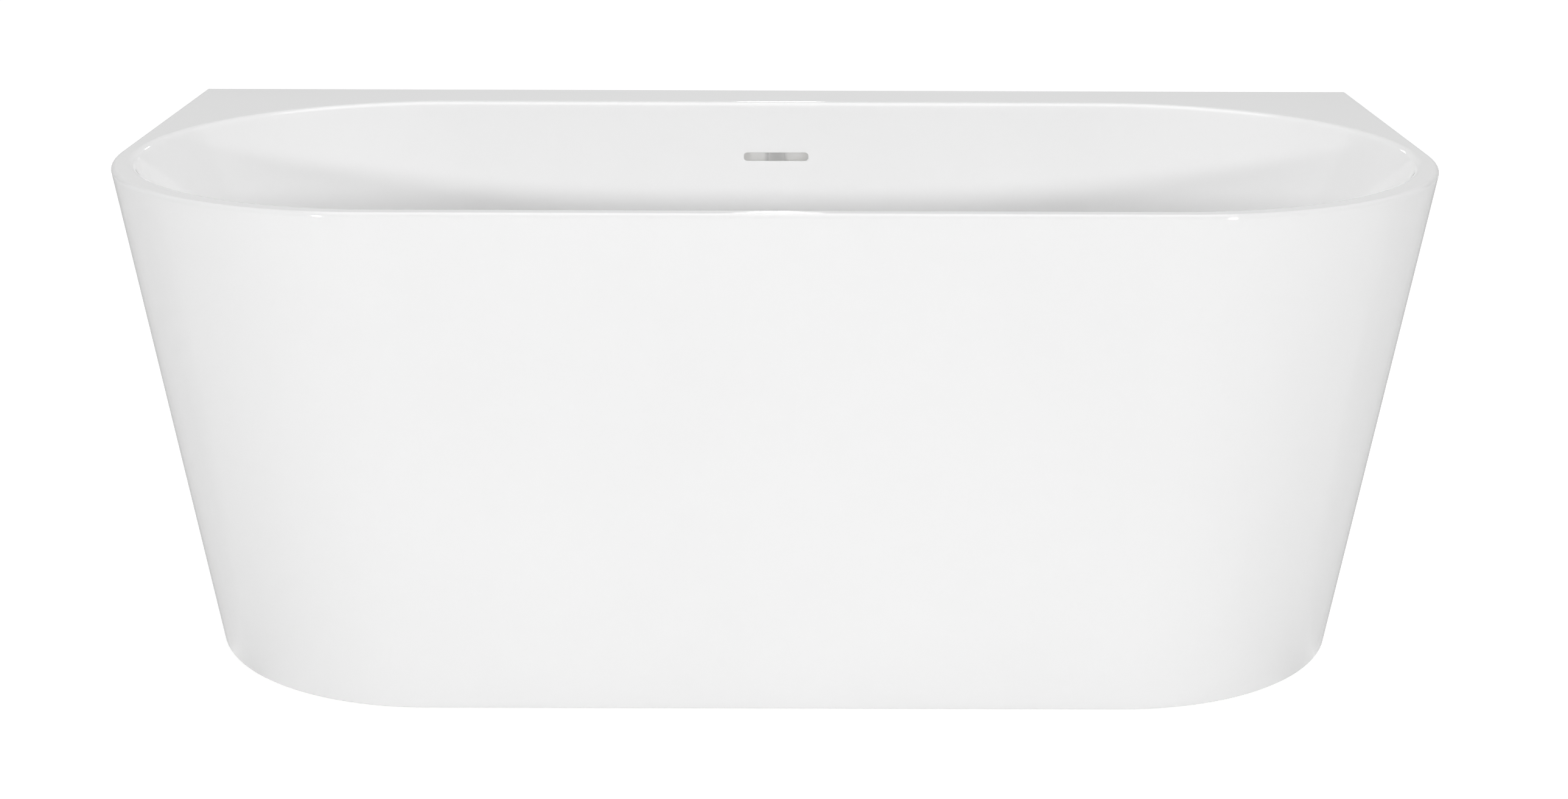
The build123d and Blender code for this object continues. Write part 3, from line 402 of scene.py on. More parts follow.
def build_basin(materials):
    """The bowl, its rim and its deck as one closed shell."""
    shell = Shell()
    outside = d_outline(0)
    inside = bowl_outline(0)

    # Slot's edge, from the bowl's side through the wall
    rings = []
    for step in range(EDGE_STEPS + 1):
        turn = pi / 2 * step / EDGE_STEPS
        ring = slot_ring(SLOT_EDGE_R * (1 - sin(turn)), SLOT_EDGE_R * (1 - cos(turn)))
        rings.append(shell.add_row(ring))
    rings.append(shell.add_row(slot_ring(0, SHELL * cos(WALL_LEAN))))
    for first, last in zip(rings, rings[1:]):
        shell.band(first, last, ACRYLIC_SIDE)

    # Rim and deck
    over = outer_rounding(outside)
    edge = inner_rounding(inside)
    face_rows = [outside.row(SEAM_Z)]
    face_rows += between(face_rows[0], over[0], guarded(LIP_STEPS, LIP_GUARD))
    face_rows += over
    face_rows += between(over[-1], edge[0], guarded(DECK_ROWS, DECK_GUARD))
    face_rows += edge[:-1]
    face = [shell.add_row(row) for row in face_rows]

    # Bowl's wall down to its floor
    turn_in = floor_rounding(inside, FLOOR_HEIGHT, FLOOR_FILLET)
    wall_shares = guarded(WALL_STEPS, WALL_GUARD)
    wall = [edge[-1]] + between(edge[-1], turn_in[0], wall_shares) + [turn_in[0]]
    wall_made = wall_rows_with_slot(shell, wall, ACRYLIC_SIDE, rings[0])

    # Floor, drain dish and hole
    bottom = turn_in[1:]
    dish_r = DRAIN_RECESS_D / 2
    rim = circle_row(bottom[-1], dish_r + DISH_EDGE_R, FLOOR_HEIGHT)
    bottom += between(bottom[-1], rim, FLOOR_SHARES)
    for step in range(DISH_STEPS + 1):
        turn = pi / 2 * step / DISH_STEPS
        drop = DISH_EDGE_R * (1 - cos(turn))
        radius = dish_r + DISH_EDGE_R * (1 - sin(turn))
        bottom.append(circle_row(rim, radius, FLOOR_HEIGHT - drop))
    dish_z = FLOOR_HEIGHT - DRAIN_RECESS_DEPTH
    bottom.append(circle_row(rim, dish_r, dish_z))
    bottom.append(circle_row(rim, DRAIN_HOLE_D / 2, dish_z))
    bottom_made = [shell.add_row(row) for row in bottom]

    # Hidden side, from the hole back out to the lip
    outer_bowl = bowl_outline(SHELL)
    floor_under = FLOOR_HEIGHT - SHELL
    pad_low = dish_z - SHELL
    turn_out = floor_rounding(outer_bowl, floor_under, FLOOR_FILLET + SHELL)
    lip = d_outline(SHELL)
    hidden = [circle_row(rim, DRAIN_HOLE_D / 2, pad_low)]
    hidden.append(circle_row(rim, DRAIN_PAD_D / 2, pad_low))
    hidden.append(circle_row(rim, DRAIN_PAD_D / 2, floor_under))
    hidden += between(hidden[-1], turn_out[-1], HIDDEN_SHARES)
    hidden += turn_out[:0:-1]
    hidden_made = [shell.add_row(row) for row in hidden]
    deck_under = HEIGHT - SHELL
    back_wall = [outer_bowl.row(deck_under)]
    back_wall += between(back_wall[0], turn_out[0], wall_shares) + [turn_out[0]]
    back_made = wall_rows_with_slot(shell, back_wall, FIBRE_SIDE, rings[-1])
    lip_rows = between(back_wall[0], lip.row(deck_under), HIDDEN_SHARES)
    lip_rows += [lip.row(deck_under), lip.row(SEAM_Z)]
    lip_made = [shell.add_row(row) for row in lip_rows]

    front_side = face + [wall_made[0]]
    for first, last in zip(front_side, front_side[1:]):
        shell.band(first, last, ACRYLIC_SIDE)
    floor_side = [wall_made[-1]] + bottom_made
    for first, last in zip(floor_side, floor_side[1:]):
        shell.band(first, last, ACRYLIC_SIDE)
    shell.band(bottom_made[-1], hidden_made[0], ACRYLIC_SIDE)
    hidden_side = hidden_made + [back_made[-1]]
    for first, last in zip(hidden_side, hidden_side[1:]):
        shell.band(first, last, FIBRE_SIDE)
    under_deck = [back_made[0]] + lip_made
    for first, last in zip(under_deck, under_deck[1:]):
        shell.band(first, last, FIBRE_SIDE)
    shell.band(lip_made[-1], face[0], FIBRE_SIDE)
    return shell.finish("bowl_shell", materials)


def build_skirt(materials):
    """The skirt: a section swept round the front and both ends, and a return at the wall."""
    shell = Shell()
    hollow = SKIRT_WALL
    flange = SKIRT_WALL + SKIRT_RETURN
    tongue_face = SHELL + GLUE_GAP
    tongue_back = tongue_face + JOGGLE_WALL
    shoulder = SEAM_Z - JOGGLE_HEIGHT
    tongue_end = WALL_Y - SKIRT_WALL - SHELL
    low = FLOOR_GAP + SKIRT_EDGE_R
    profile = [(0, z) for z in (SEAM_Z, SEAM_Z - SUPPORT)]
    profile += [(0, z) for z in spread(SEAM_Z, low, SKIRT_STEPS)[1:]]
    profile += [(0, low + SUPPORT)]
    for step in range(EDGE_STEPS + 1):
        turn = pi / 2 * step / EDGE_STEPS
        profile.append((SKIRT_EDGE_R * (1 - cos(turn)), low - SKIRT_EDGE_R * sin(turn)))
    white = len(profile) - 1
    profile += [(flange, FLOOR_GAP), (flange, RETURN_TOP)]
    profile += [(hollow, RETURN_TOP), (hollow, shoulder)]
    profile += [(tongue_back, shoulder), (tongue_back, SEAM_Z + JOGGLE_HEIGHT)]
    profile += [(tongue_face, SEAM_Z + JOGGLE_HEIGHT), (tongue_face, SEAM_Z)]

    def path(inset, z):
        """Stations round the front from the wall on the left to the wall on the right."""
        count = FRONT_STEPS + 1 + CORNER_STEPS + SIDE_STEPS
        half = [at for at, _ in d_half(z, inset)[:count]]
        half.append((half[-1][0], WALL_Y))
        stop = tongue_end if z > SEAM_Z else WALL_Y
        whole = [(-x, y) for x, y in half[:0:-1]] + half
        return [Vector((x, min(y, stop), z)) for x, y in whole]

    rows = [shell.add_row(path(inset, z)) for inset, z in profile]
    for k, first in enumerate(rows):
        last = rows[(k + 1) % len(rows)]
        side = ACRYLIC_SIDE if k < white else FIBRE_SIDE
        shell.band(first, last, side, closed=False)
    for end in (0, -1):
        shell.bm.faces.new([row[end] for row in rows]).material_index = FIBRE_SIDE
    for side in (-1, 1):
        add_wall_return(shell, side)
    return shell.finish("skirt_shell", materials)


def add_wall_return(shell, side):
    """Flat strip along the wall at one end of the skirt, with a softened free edge."""
    def ring(z):
        face = LENGTH / 2 + lost_to_rounding(SIDE_TAPER) - drawn(SIDE_TAPER, z)
        outer = face - SKIRT_WALL
        inner = outer - SKIRT_RETURN
        soft = SKIRT_EDGE_R
        corners = [(outer, WALL_Y), (inner + soft, WALL_Y), (inner, WALL_Y - soft)]
        corners += [(inner, WALL_Y - SKIRT_WALL), (outer, WALL_Y - SKIRT_WALL)]
        return [Vector((side * x, y, z)) for x, y in corners]

    rows = [shell.add_row(ring(z)) for z in (RETURN_TOP, SEAM_Z)]
    shell.band(rows[0], rows[1], FIBRE_SIDE)
    for row in rows:
        shell.bm.faces.new(row).material_index = FIBRE_SIDE


class Graph:
    """Short hand for building a node tree."""

    def __init__(self, tree):
        self.tree = tree

    def add(self, kind, **settings):
        node = self.tree.nodes.new(kind)
        for key, value in settings.items():
            setattr(node, key, value)
        return node

    def link(self, output, socket):
        self.tree.links.new(output, socket)

    def maths(self, operation, first, second=0):
        node = self.add("ShaderNodeMath", operation=operation)
        for socket, value in zip(node.inputs, (first, second)):
            if isinstance(value, (int, float)):
                socket.default_value = value
            else:
                self.link(value, socket)
        return node.outputs["Value"]


# Materials
class Finish(Graph):
    """One material round Blender's general shader, with textures in the frame's metres."""

    def __init__(self, name):
        self.material = bpy.data.materials.new(name)
        self.material.use_nodes = True
        super().__init__(self.material.node_tree)
        self.shader = self.tree.nodes["Principled BSDF"]
        self.place = self.add("ShaderNodeTexCoord").outputs["Object"]

    def set(self, **values):
        for key, value in values.items():
            name = "IOR" if key == "ior" else key.replace("_", " ").title()
            self.shader.inputs[name].default_value = value

    def mapped(self, scale):
        node = self.add("ShaderNodeMapping")
        node.inputs["Scale"].default_value = scale
        self.link(self.place, node.inputs["Vector"])
        return node.outputs["Vector"]

    def noise(self, scale, detail=2.0, roughness=0.5, vector=None):
        node = self.add("ShaderNodeTexNoise")
        node.inputs["Scale"].default_value = scale
        node.inputs["Detail"].default_value = detail
        node.inputs["Roughness"].default_value = roughness
        self.link(vector or self.place, node.inputs["Vector"])
        return node.outputs["Fac"]

    def cells(self, scale, vector=None):
        node = self.add("ShaderNodeTexVoronoi")
        node.inputs["Scale"].default_value = scale
        self.link(vector or self.place, node.inputs["Vector"])
        return node.outputs["Color"]

    def ramp(self, value, *stops):
        node = self.add("ShaderNodeValToRGB")
        ramp = node.color_ramp
        while len(ramp.elements) < len(stops):
            ramp.elements.new(0.5)
        for element, (at, colour) in zip(ramp.elements, stops):
            element.position = at
            element.color = (*colour, 1)
        self.link(value, node.inputs["Fac"])
        return node.outputs["Color"]

    def level(self, value, low, high):
        node = self.add("ShaderNodeMapRange")
        node.inputs["To Min"].default_value = low
        node.inputs["To Max"].default_value = high
        self.link(value, node.inputs["Value"])
        return node.outputs["Result"]

    def colour(self, value):
        self.link(value, self.shader.inputs["Base Color"])

    def rough(self, value):
        self.link(value, self.shader.inputs["Roughness"])

    def bump(self, height, strength, distance):
        node = self.add("ShaderNodeBump")
        node.inputs["Strength"].default_value = strength
        node.inputs["Distance"].default_value = distance
        self.link(height, node.inputs["Height"])
        self.link(node.outputs["Normal"], self.shader.inputs["Normal"])


def grey(value):
    return (value, value, value)


def white_acrylic():
    """Glossy cast sheet: an even white, with a very faint ripple in its gloss."""
    m = Finish("white_acrylic")
    cloud = m.noise(3.0, detail=3)
    m.colour(m.ramp(cloud, (0.3, grey(0.895)), (0.7, grey(0.910))))
    m.rough(m.level(m.noise(40.0), 0.02, 0.05))
    m.bump(m.noise(55.0, detail=1), 0.01, 0.001)
    m.set(ior=1.49)
    return m.material


def glass_fibre():
    """Chopped strands rolled out in resin."""
    m = Finish("glass_fibre_backing")
    strands = None
    for turn in (0.2, 1.1, 2.0, 2.8):
        turned = m.add("ShaderNodeMapping")
        turned.inputs["Rotation"].default_value = (turn, 0.7 * turn, turn)
        turned.inputs["Scale"].default_value = (420, 26, 420)
        m.link(m.place, turned.inputs["Vector"])
        layer = m.noise(1.0, detail=2, roughness=0.7, vector=turned.outputs["Vector"])
        strands = layer if strands is None else m.maths("MAXIMUM", strands, layer)
    resin, wetted, dry = (0.50, 0.49, 0.40), (0.66, 0.65, 0.56), (0.78, 0.77, 0.70)
    m.colour(m.ramp(strands, (0.45, resin), (0.62, wetted), (0.75, dry)))
    m.rough(m.level(strands, 0.55, 0.30))
    m.bump(strands, 0.5, 0.002)
    return m.material


def board():
    """Particle board: flakes of several browns pressed flat."""
    m = Finish("board")
    flakes = m.cells(1.0, vector=m.mapped((300, 420, 700)))
    dust = m.noise(1400.0, detail=3)
    bark, heart, pale = (0.44, 0.31, 0.19), (0.62, 0.47, 0.31), (0.75, 0.61, 0.44)
    m.colour(m.ramp(flakes, (0.15, bark), (0.5, heart), (0.85, pale)))
    m.rough(m.level(dust, 0.65, 0.9))
    m.bump(m.maths("ADD", flakes, dust), 0.35, 0.0004)
    return m.material


def timber():
    """Planed softwood with its grain along the batten."""
    m = Finish("timber")
    rings = m.noise(1.0, detail=3, vector=m.mapped((1.6, 120, 120)))
    fibres = m.noise(1.0, detail=4, roughness=0.7, vector=m.mapped((18, 1100, 1100)))
    late, middle, early = (0.55, 0.38, 0.21), (0.70, 0.54, 0.35), (0.79, 0.65, 0.45)
    m.colour(m.ramp(rings, (0.36, late), (0.48, middle), (0.66, early)))
    m.rough(m.level(fibres, 0.45, 0.7))
    m.bump(m.maths("ADD", rings, fibres), 0.25, 0.0005)
    return m.material


def galvanised_steel():
    """Hot-dip zinc with its spangle of flat crystals."""
    m = Finish("galvanised_steel")
    spangle = m.cells(95.0)
    m.colour(m.ramp(spangle, (0.2, (0.50, 0.52, 0.53)), (0.8, (0.68, 0.70, 0.71))))
    m.rough(m.level(spangle, 0.30, 0.50))
    m.bump(m.noise(350.0, detail=3), 0.12, 0.0004)
    m.set(metallic=0.9)
    return m.material


def zinc_fasteners():
    """Bright zinc plate, clouded by handling."""
    m = Finish("zinc_fasteners")
    cloud = m.noise(170.0, detail=3)
    m.colour(m.ramp(cloud, (0.3, (0.62, 0.63, 0.63)), (0.7, (0.76, 0.75, 0.71))))
    m.rough(m.level(cloud, 0.22, 0.40))
    m.bump(m.noise(1600.0), 0.1, 0.0002)
    m.set(metallic=1.0)
    return m.material


def moulded(name, dark, pale, roughness, grain, translucence=0.0):
    """Moulded plastic or rubber: slight clouds in its colour and the fine texture of its mould.

    Translucence is how far light spreads inside the material.
    """
    m = Finish(name)
    cloud = m.noise(35.0, detail=4)
    m.colour(m.ramp(cloud, (0.3, dark), (0.7, pale)))
    texture = m.noise(grain, detail=2)
    m.rough(m.level(texture, *roughness))
    m.bump(texture, 0.2, 0.0003)
    if translucence:
        m.set(subsurface_weight=1.0, subsurface_radius=(1, 1, 1), subsurface_scale=translucence)
    return m.material


def chrome():
    """Polished chrome plate with faint wipe marks."""
    m = Finish("chrome")
    wiped = m.noise(1.0, detail=4, vector=m.mapped((60, 220, 120)))
    m.colour(m.ramp(wiped, (0.3, (0.82, 0.83, 0.84)), (0.7, (0.87, 0.87, 0.88))))
    m.rough(m.level(wiped, 0.03, 0.09))
    m.bump(m.noise(90.0), 0.02, 0.0005)
    m.set(metallic=1.0)
    return m.material


def brass():
    """Turned brass with fine tool rings about the waste's axis."""
    m = Finish("brass")
    across = m.add("ShaderNodeMapping")
    across.inputs["Location"].default_value = (0, -BOWL_Y, 0)
    across.inputs["Scale"].default_value = (1, 1, 0)
    m.link(m.place, across.inputs["Vector"])
    radius = m.add("ShaderNodeVectorMath", operation="LENGTH")
    m.link(across.outputs["Vector"], radius.inputs[0])
    height = m.add("ShaderNodeSeparateXYZ")
    m.link(m.place, height.inputs["Vector"])
    turned = m.add("ShaderNodeCombineXYZ")
    m.link(radius.outputs["Value"], turned.inputs["X"])
    m.link(height.outputs["Z"], turned.inputs["Z"])
    rings = m.noise(2600.0, detail=2, vector=turned.outputs["Vector"])
    cloud = m.noise(70.0, detail=3)
    m.colour(m.ramp(cloud, (0.3, (0.64, 0.46, 0.20)), (0.7, (0.76, 0.59, 0.31))))
    m.rough(m.level(rings, 0.18, 0.36))
    m.bump(rings, 0.15, 0.0002)
    m.set(metallic=1.0)
    return m.material


DARK_GREY = (0.39, 0.40, 0.41)
PALE_GREY = (0.45, 0.46, 0.47)
MILKY = 0.020
FINISHES = {
    "white_acrylic": white_acrylic(),
    "board": board(),
    "timber": timber(),
    "galvanised_steel": galvanised_steel(),
    "zinc_fasteners": zinc_fasteners(),
    "black_plastic": moulded("black_plastic", grey(0.040), grey(0.062), (0.45, 0.65), 1500),
    "chrome": chrome(),
    "brass": brass(),
    "rubber": moulded("rubber", grey(0.050), grey(0.075), (0.70, 0.90), 900),
    "white_plastic": moulded("white_plastic", grey(0.86), grey(0.90), (0.30, 0.45), 700, MILKY),
    "grey_plastic": moulded("grey_plastic", DARK_GREY, PALE_GREY, (0.35, 0.50), 700),
}
fibre = glass_fibre()


def add_piece(piece, node, body):
    """Puts a piece made here in the place of a CAD node."""
    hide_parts(node)
    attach(piece, body)


# Bowl and skirt
shells = [FINISHES["white_acrylic"], fibre]
add_piece(build_basin(shells), "basin", "bath")
add_piece(build_skirt(shells), "skirt", "bath")

# Fasteners and studs with real threads, in the places of their plain solids
THREAD_DEPTH = 0.6134  # of the pitch, as on any metric thread
CREST_HALF = 1 / 16  # of the pitch
ROOT_START = 3 / 8
ROOT_END = 5 / 8
THREAD_COLUMNS = 24
SCREW_COLUMNS = 16
HEX_COLUMNS = 36
HEAD_COLUMNS = 32
NODE_WELD = 1e-6  # vertices of a CAD node this close are one
SUNK = 0.0006  # how far a shank reaches into its head
BOLT_D = 0.006
BOLT_PITCH = 0.001
BOLT_HEAD = 0.004
SCREW_D = 0.004
SCREW_PITCH = 0.0014
SCREW_HEAD = 0.0026
SCREW_ROUND = 0.0012
RECESS_REACH = 0.0023
RECESS_WIDTH = 0.0011
RECESS_DEPTH = 0.0017
RECESS_DRAFT = 0.55
STUD_D = 0.010
STUD_PITCH = 0.0015
STUD_HEX_LOW = 0.0223
STUD_HEX_HIGH = 0.0283
STUD_HEX_ACROSS = 0.014
HEX_FACE = 0.95  # round face of a hexagon, of the width across its flats


def solid_boxes(node):
    """Lowest and highest corner of each separate solid in a CAD node, in a fixed order."""
    bm = bmesh.new()
    bm.from_mesh(frame["nodes"][node].data)
    bmesh.ops.remove_doubles(bm, verts=bm.verts, dist=NODE_WELD)
    left = set(bm.verts)
    boxes = []
    while left:
        group = [left.pop()]
        for vert in group:
            near = {edge.other_vert(vert) for edge in vert.link_edges} & left
            left -= near
            group.extend(near)
        sides = list(zip(*(vert.co for vert in group)))
        low = tuple(min(side) for side in sides)
        high = tuple(max(side) for side in sides)
        boxes.append((low, high))
    bm.free()
    return sorted(boxes)


def ring_at(at, radius, z, columns):
    """Points of a level circle."""
    turns = spread(0, 2 * pi, columns)
    return [(at[0] + radius * cos(turn), at[1] + radius * sin(turn), z) for turn in turns]


def add_thread(shell, at, low, high, radius, pitch, columns=THREAD_COLUMNS):
    """Closed rod along Z with a right-hand thread and a chamfer at both ends."""
    core = radius - THREAD_DEPTH * pitch
    crest = [(-pitch * CREST_HALF, radius), (pitch * CREST_HALF, radius)]
    profile = crest + [(pitch * ROOT_START, core), (pitch * ROOT_END, core)]
    rows = len(profile) * (int((high - low) / pitch) + 3)
    grid = []
    for column, turn in enumerate(spread(0, 2 * pi, columns)):
        line = []
        for row in range(rows):
            rise, reach = profile[row % len(profile)]
            climb = row // len(profile) - 1 + column / columns
            z = min(max(low + climb * pitch + rise, low), high)
            reach = min(reach, core + min(z - low, high - z))
            line.append((at[0] + reach * cos(turn), at[1] + reach * sin(turn), z))
        grid.append(shell.add_row(line))
    first = grid[0][len(profile):]
    for line, beside in zip(grid, grid[1:] + [first]):
        shell.band(line[: len(beside)], beside, 0, closed=False)


def add_hexagon(shell, at, low, high, across):
    """Closed hexagon along Z, with its corners bevelled at both ends."""
    face = HEX_FACE * across / 2
    lower, upper = [], []
    for turn in spread(0, 2 * pi, HEX_COLUMNS):
        reach = across / 2 / cos(turn % (pi / 3) - pi / 6)
        drop = (reach - face) * tan(pi / 6)
        x, y = at[0] + reach * cos(turn), at[1] + reach * sin(turn)
        lower.append((x, y, low + drop))
        upper.append((x, y, high - drop))
    ends = [ring_at(at, face, z, HEX_COLUMNS) for z in (low, high)]
    rows = [shell.add_row(row) for row in (ends[0], lower, upper, ends[1])]
    for first, last in zip(rows, rows[1:]):
        shell.band(first, last, 0)
    shell.bm.faces.new(rows[0])
    shell.bm.faces.new(rows[-1])


def add_pan_head(shell, at, low, radius):
    """Closed round head along Z whose face, below, has a cross recess."""
    rows = []
    for step in range(EDGE_STEPS + 1):
        turn = pi / 2 * step / EDGE_STEPS
        reach = radius - SCREW_ROUND * (1 - sin(turn))
        z = low + SCREW_ROUND * (1 - cos(turn))
        rows.append(shell.add_row(ring_at(at, reach, z, HEAD_COLUMNS)))
    rows.append(shell.add_row(ring_at(at, radius, low + SCREW_HEAD, HEAD_COLUMNS)))
    for first, last in zip(rows, rows[1:]):
        shell.band(first, last, 0)
    shell.bm.faces.new(rows[-1])
    arm = RECESS_WIDTH / 2
    quarter = [(RECESS_REACH, arm), (arm, arm), (arm, RECESS_REACH)]
    cross = []
    for _ in range(4):
        cross += quarter
        quarter = [(-y, x) for x, y in quarter]

    def recess(size, z):
        return shell.add_row((at[0] + size * x, at[1] + size * y, z) for x, y in cross)

    mouth = recess(1, low)
    inside = recess(RECESS_DRAFT, low + RECESS_DEPTH)
    shell.band(mouth, inside, 0)
    shell.bm.faces.new(inside)
    shell.fill(shell.loop_edges(rows[0]) + shell.loop_edges(mouth), (0, 0, -1), 0)


def middle_of(low, high):
    return (low[0] + high[0]) / 2, (low[1] + high[1]) / 2


def build_bolts(node, head_below):
    """Hexagon bolts with their heads below or above."""
    shell = Shell()
    for low, high in solid_boxes(node):
        at = middle_of(low, high)
        bottom, top = low[2], high[2]
        head = (bottom, bottom + BOLT_HEAD) if head_below else (top - BOLT_HEAD, top)
        shank = (head[1] - SUNK, top) if head_below else (bottom, head[0] + SUNK)
        add_hexagon(shell, at, *head, high[1] - low[1])
        add_thread(shell, at, *shank, BOLT_D / 2, BOLT_PITCH)
    return shell.finish(f"threaded_{node}", [FINISHES["zinc_fasteners"]])


def build_screws(node):
    """Pan-head screws that are driven upwards."""
    shell = Shell()
    for low, high in solid_boxes(node):
        at = middle_of(low, high)
        add_pan_head(shell, at, low[2], (high[0] - low[0]) / 2)
        start = low[2] + SCREW_HEAD - SUNK
        add_thread(shell, at, start, high[2], SCREW_D / 2, SCREW_PITCH, SCREW_COLUMNS)
    return shell.finish(f"threaded_{node}", [FINISHES["zinc_fasteners"]])


def build_stud(name, node):
    """Levelling stud: a threaded rod above a spanner hexagon, with a plain end in its pad."""
    shell = Shell()
    low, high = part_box(node)
    at = middle_of(low, high)
    add_thread(shell, at, STUD_HEX_HIGH - SUNK, high[2], STUD_D / 2, STUD_PITCH)
    add_hexagon(shell, at, STUD_HEX_LOW, STUD_HEX_HIGH, STUD_HEX_ACROSS)
    levels = (low[2], STUD_HEX_LOW + SUNK)
    end = [shell.add_row(ring_at(at, STUD_D / 2, z, THREAD_COLUMNS)) for z in levels]
    shell.band(end[0], end[1], 0)
    for row in end:
        shell.bm.faces.new(row)
    return shell.finish(name, [FINISHES["zinc_fasteners"]])


HEAD_BELOW = {"bracket_bolts": True, "bracket_screws": False, "rail_bolts": False}
for node, head_below in HEAD_BELOW.items():
    add_piece(build_bolts(node, head_below), node, "bath")
for node in ("board_screws", "upright_screws"):
    add_piece(build_screws(node), node, "bath")
for corner in ("front_left", "front_right", "rear_left", "rear_right"):
    stud = build_stud(f"threaded_stud_{corner}", f"foot_stud_{corner}")
    add_piece(stud, f"foot_stud_{corner}", f"stud_{corner}")

# Finish of every piece that keeps its solid
for part in frame["record"]["subparts"]:
    for slot in frame["nodes"][part["node"]].material_slots:
        slot.link = "OBJECT"
        slot.material = FINISHES[part["material_slot"]]

# Camera, as fitted to the photograph
CAMERA_AT = Vector((0.00717, -2.76699, 1.10952))
CAMERA_PITCH = radians(16.8914)
CAMERA_YAW = radians(-0.0734)
CAMERA_ROLL = radians(0.1822)
FOCAL_PIXELS = 3947.73
IMAGE_WIDTH = 2576
SENSOR_WIDTH = 36.0


def add_camera():
    ahead = Vector((-sin(CAMERA_YAW), cos(CAMERA_YAW), 0))
    across = Vector((cos(CAMERA_YAW), sin(CAMERA_YAW), 0))
    above = Vector((0, 0, 1))
    look = ahead * cos(CAMERA_PITCH) - above * sin(CAMERA_PITCH)
    level_up = above * cos(CAMERA_PITCH) + ahead * sin(CAMERA_PITCH)
    right = across * cos(CAMERA_ROLL) + level_up * sin(CAMERA_ROLL)
    up = level_up * cos(CAMERA_ROLL) - across * sin(CAMERA_ROLL)
    data = bpy.data.cameras.new("camera")
    data.sensor_fit = "HORIZONTAL"
    data.sensor_width = SENSOR_WIDTH
    data.lens = FOCAL_PIXELS / IMAGE_WIDTH * SENSOR_WIDTH
    camera = bpy.data.objects.new("camera", data)
    turn = Matrix((right, up, -look)).transposed()
    camera.matrix_world = Matrix.Translation(CAMERA_AT) @ turn.to_4x4()
    bpy.context.scene.collection.objects.link(camera)
    bpy.context.scene.camera = camera


add_camera()

# Studio: soft light from all round that is weakest in front, a wide lamp overhead, a small one
# behind and one at each side in front. Grey cards shade the reflections along the bath's edges, and
# a clear card on the floor lifts the foot of the skirt.
AMBIENT_ENDS = 0.70
AMBIENT_FRONT = 0.19
AMBIENT_BACK = 1.36
LAMP_AIM = (0, 0, 0.5)
OVERHEAD_AT = (0, 0, 4.0)
OVERHEAD_SIZE = 3.4
OVERHEAD_POWER = 66
BEHIND_AT = (0, 2.4, 1.3)
BEHIND_SIZE = 0.21
BEHIND_POWER = 2
SIDE_LAMP_AT = (2.2, -4.0, 1.32)
SIDE_LAMP_SIZE = 0.25
SIDE_LAMP_POWER = 46
FLOOR_REACH = 12
FLOOR_WHITE = 0.92
FLOOR_GLOW = 0.87
FLOOR_SHADOW = 0.36
REAR_CARD_AT = (0, 2.6, 0)
REAR_CARD_HALF = 4
REAR_CARD_HEIGHT = 3
REAR_CARD_GREY = 0.60
FAN_START = radians(3)
FAN_ANGLE = radians(80)
FAN_STEPS = 8
FAN_LENGTH = 3.0
FAN_CORNER = (0.62, -0.15)
BOUNCE_GLOW = 0.07
BOUNCE_REACH = 0.5
CARD_LIFT = 0.001  # of a card over the floor


def background_rays(graph):
    """1 for the rays that show the background: those of the camera, of gloss and of glass."""
    path = graph.add("ShaderNodeLightPath").outputs
    bounced = graph.maths("MAXIMUM", path["Is Glossy Ray"], path["Is Transmission Ray"])
    return graph.maths("MAXIMUM", path["Is Camera Ray"], bounced)


def add_world():
    """Soft light by direction, and plain white where camera, gloss and glass see the background."""
    world = bpy.data.worlds.new("studio")
    world.use_nodes = True
    graph = Graph(world.node_tree)
    direction = graph.add("ShaderNodeSeparateXYZ")
    generated = graph.add("ShaderNodeTexCoord").outputs["Generated"]
    graph.link(generated, direction.inputs["Vector"])
    along, depth, _ = direction.outputs

    def lobe(part, level):
        return graph.maths("MULTIPLY", graph.maths("POWER", part, 2), level)

    ends = lobe(graph.maths("ABSOLUTE", along), AMBIENT_ENDS)
    ahead = graph.maths("MULTIPLY", depth, -1)
    front = lobe(graph.maths("MAXIMUM", ahead, 0), AMBIENT_FRONT)
    back = lobe(graph.maths("MAXIMUM", depth, 0), AMBIENT_BACK)
    strength = graph.add("ShaderNodeMapRange")
    graph.link(background_rays(graph), strength.inputs["Value"])
    soft = graph.maths("ADD", ends, graph.maths("ADD", front, back))
    graph.link(soft, strength.inputs["To Min"])
    strength.inputs["To Max"].default_value = 1.0
    background = graph.tree.nodes["Background"]
    background.inputs["Color"].default_value = (1, 1, 1, 1)
    graph.link(strength.outputs["Result"], background.inputs["Strength"])
    bpy.context.scene.world = world


def add_lamp(name, at, size, power):
    """Round soft lamp that looks at the bath and is not seen itself."""
    data = bpy.data.lights.new(name, "AREA")
    data.shape = "DISK"
    data.size = size
    data.energy = power
    lamp = bpy.data.objects.new(name, data)
    lamp.location = at
    look = Vector(LAMP_AIM) - Vector(at)
    lamp.rotation_euler = look.to_track_quat("-Z", "Y").to_euler()
    lamp.visible_camera = False
    bpy.context.scene.collection.objects.link(lamp)


def stage_graph(material):
    """Node tree of a stage material, with its general shader taken out."""
    material.use_nodes = True
    graph = Graph(material.node_tree)
    graph.tree.nodes.remove(graph.tree.nodes["Principled BSDF"])
    return graph


def add_shaders(graph, first, second):
    """Both lights of two shaders together."""
    both = graph.add("ShaderNodeAddShader")
    graph.link(first, both.inputs[0])
    graph.link(second, both.inputs[1])
    return both.outputs["Shader"]


def matt(graph, level):
    node = graph.add("ShaderNodeBsdfDiffuse")
    node.inputs["Color"].default_value = (*grey(level), 1)
    return node.outputs["BSDF"]


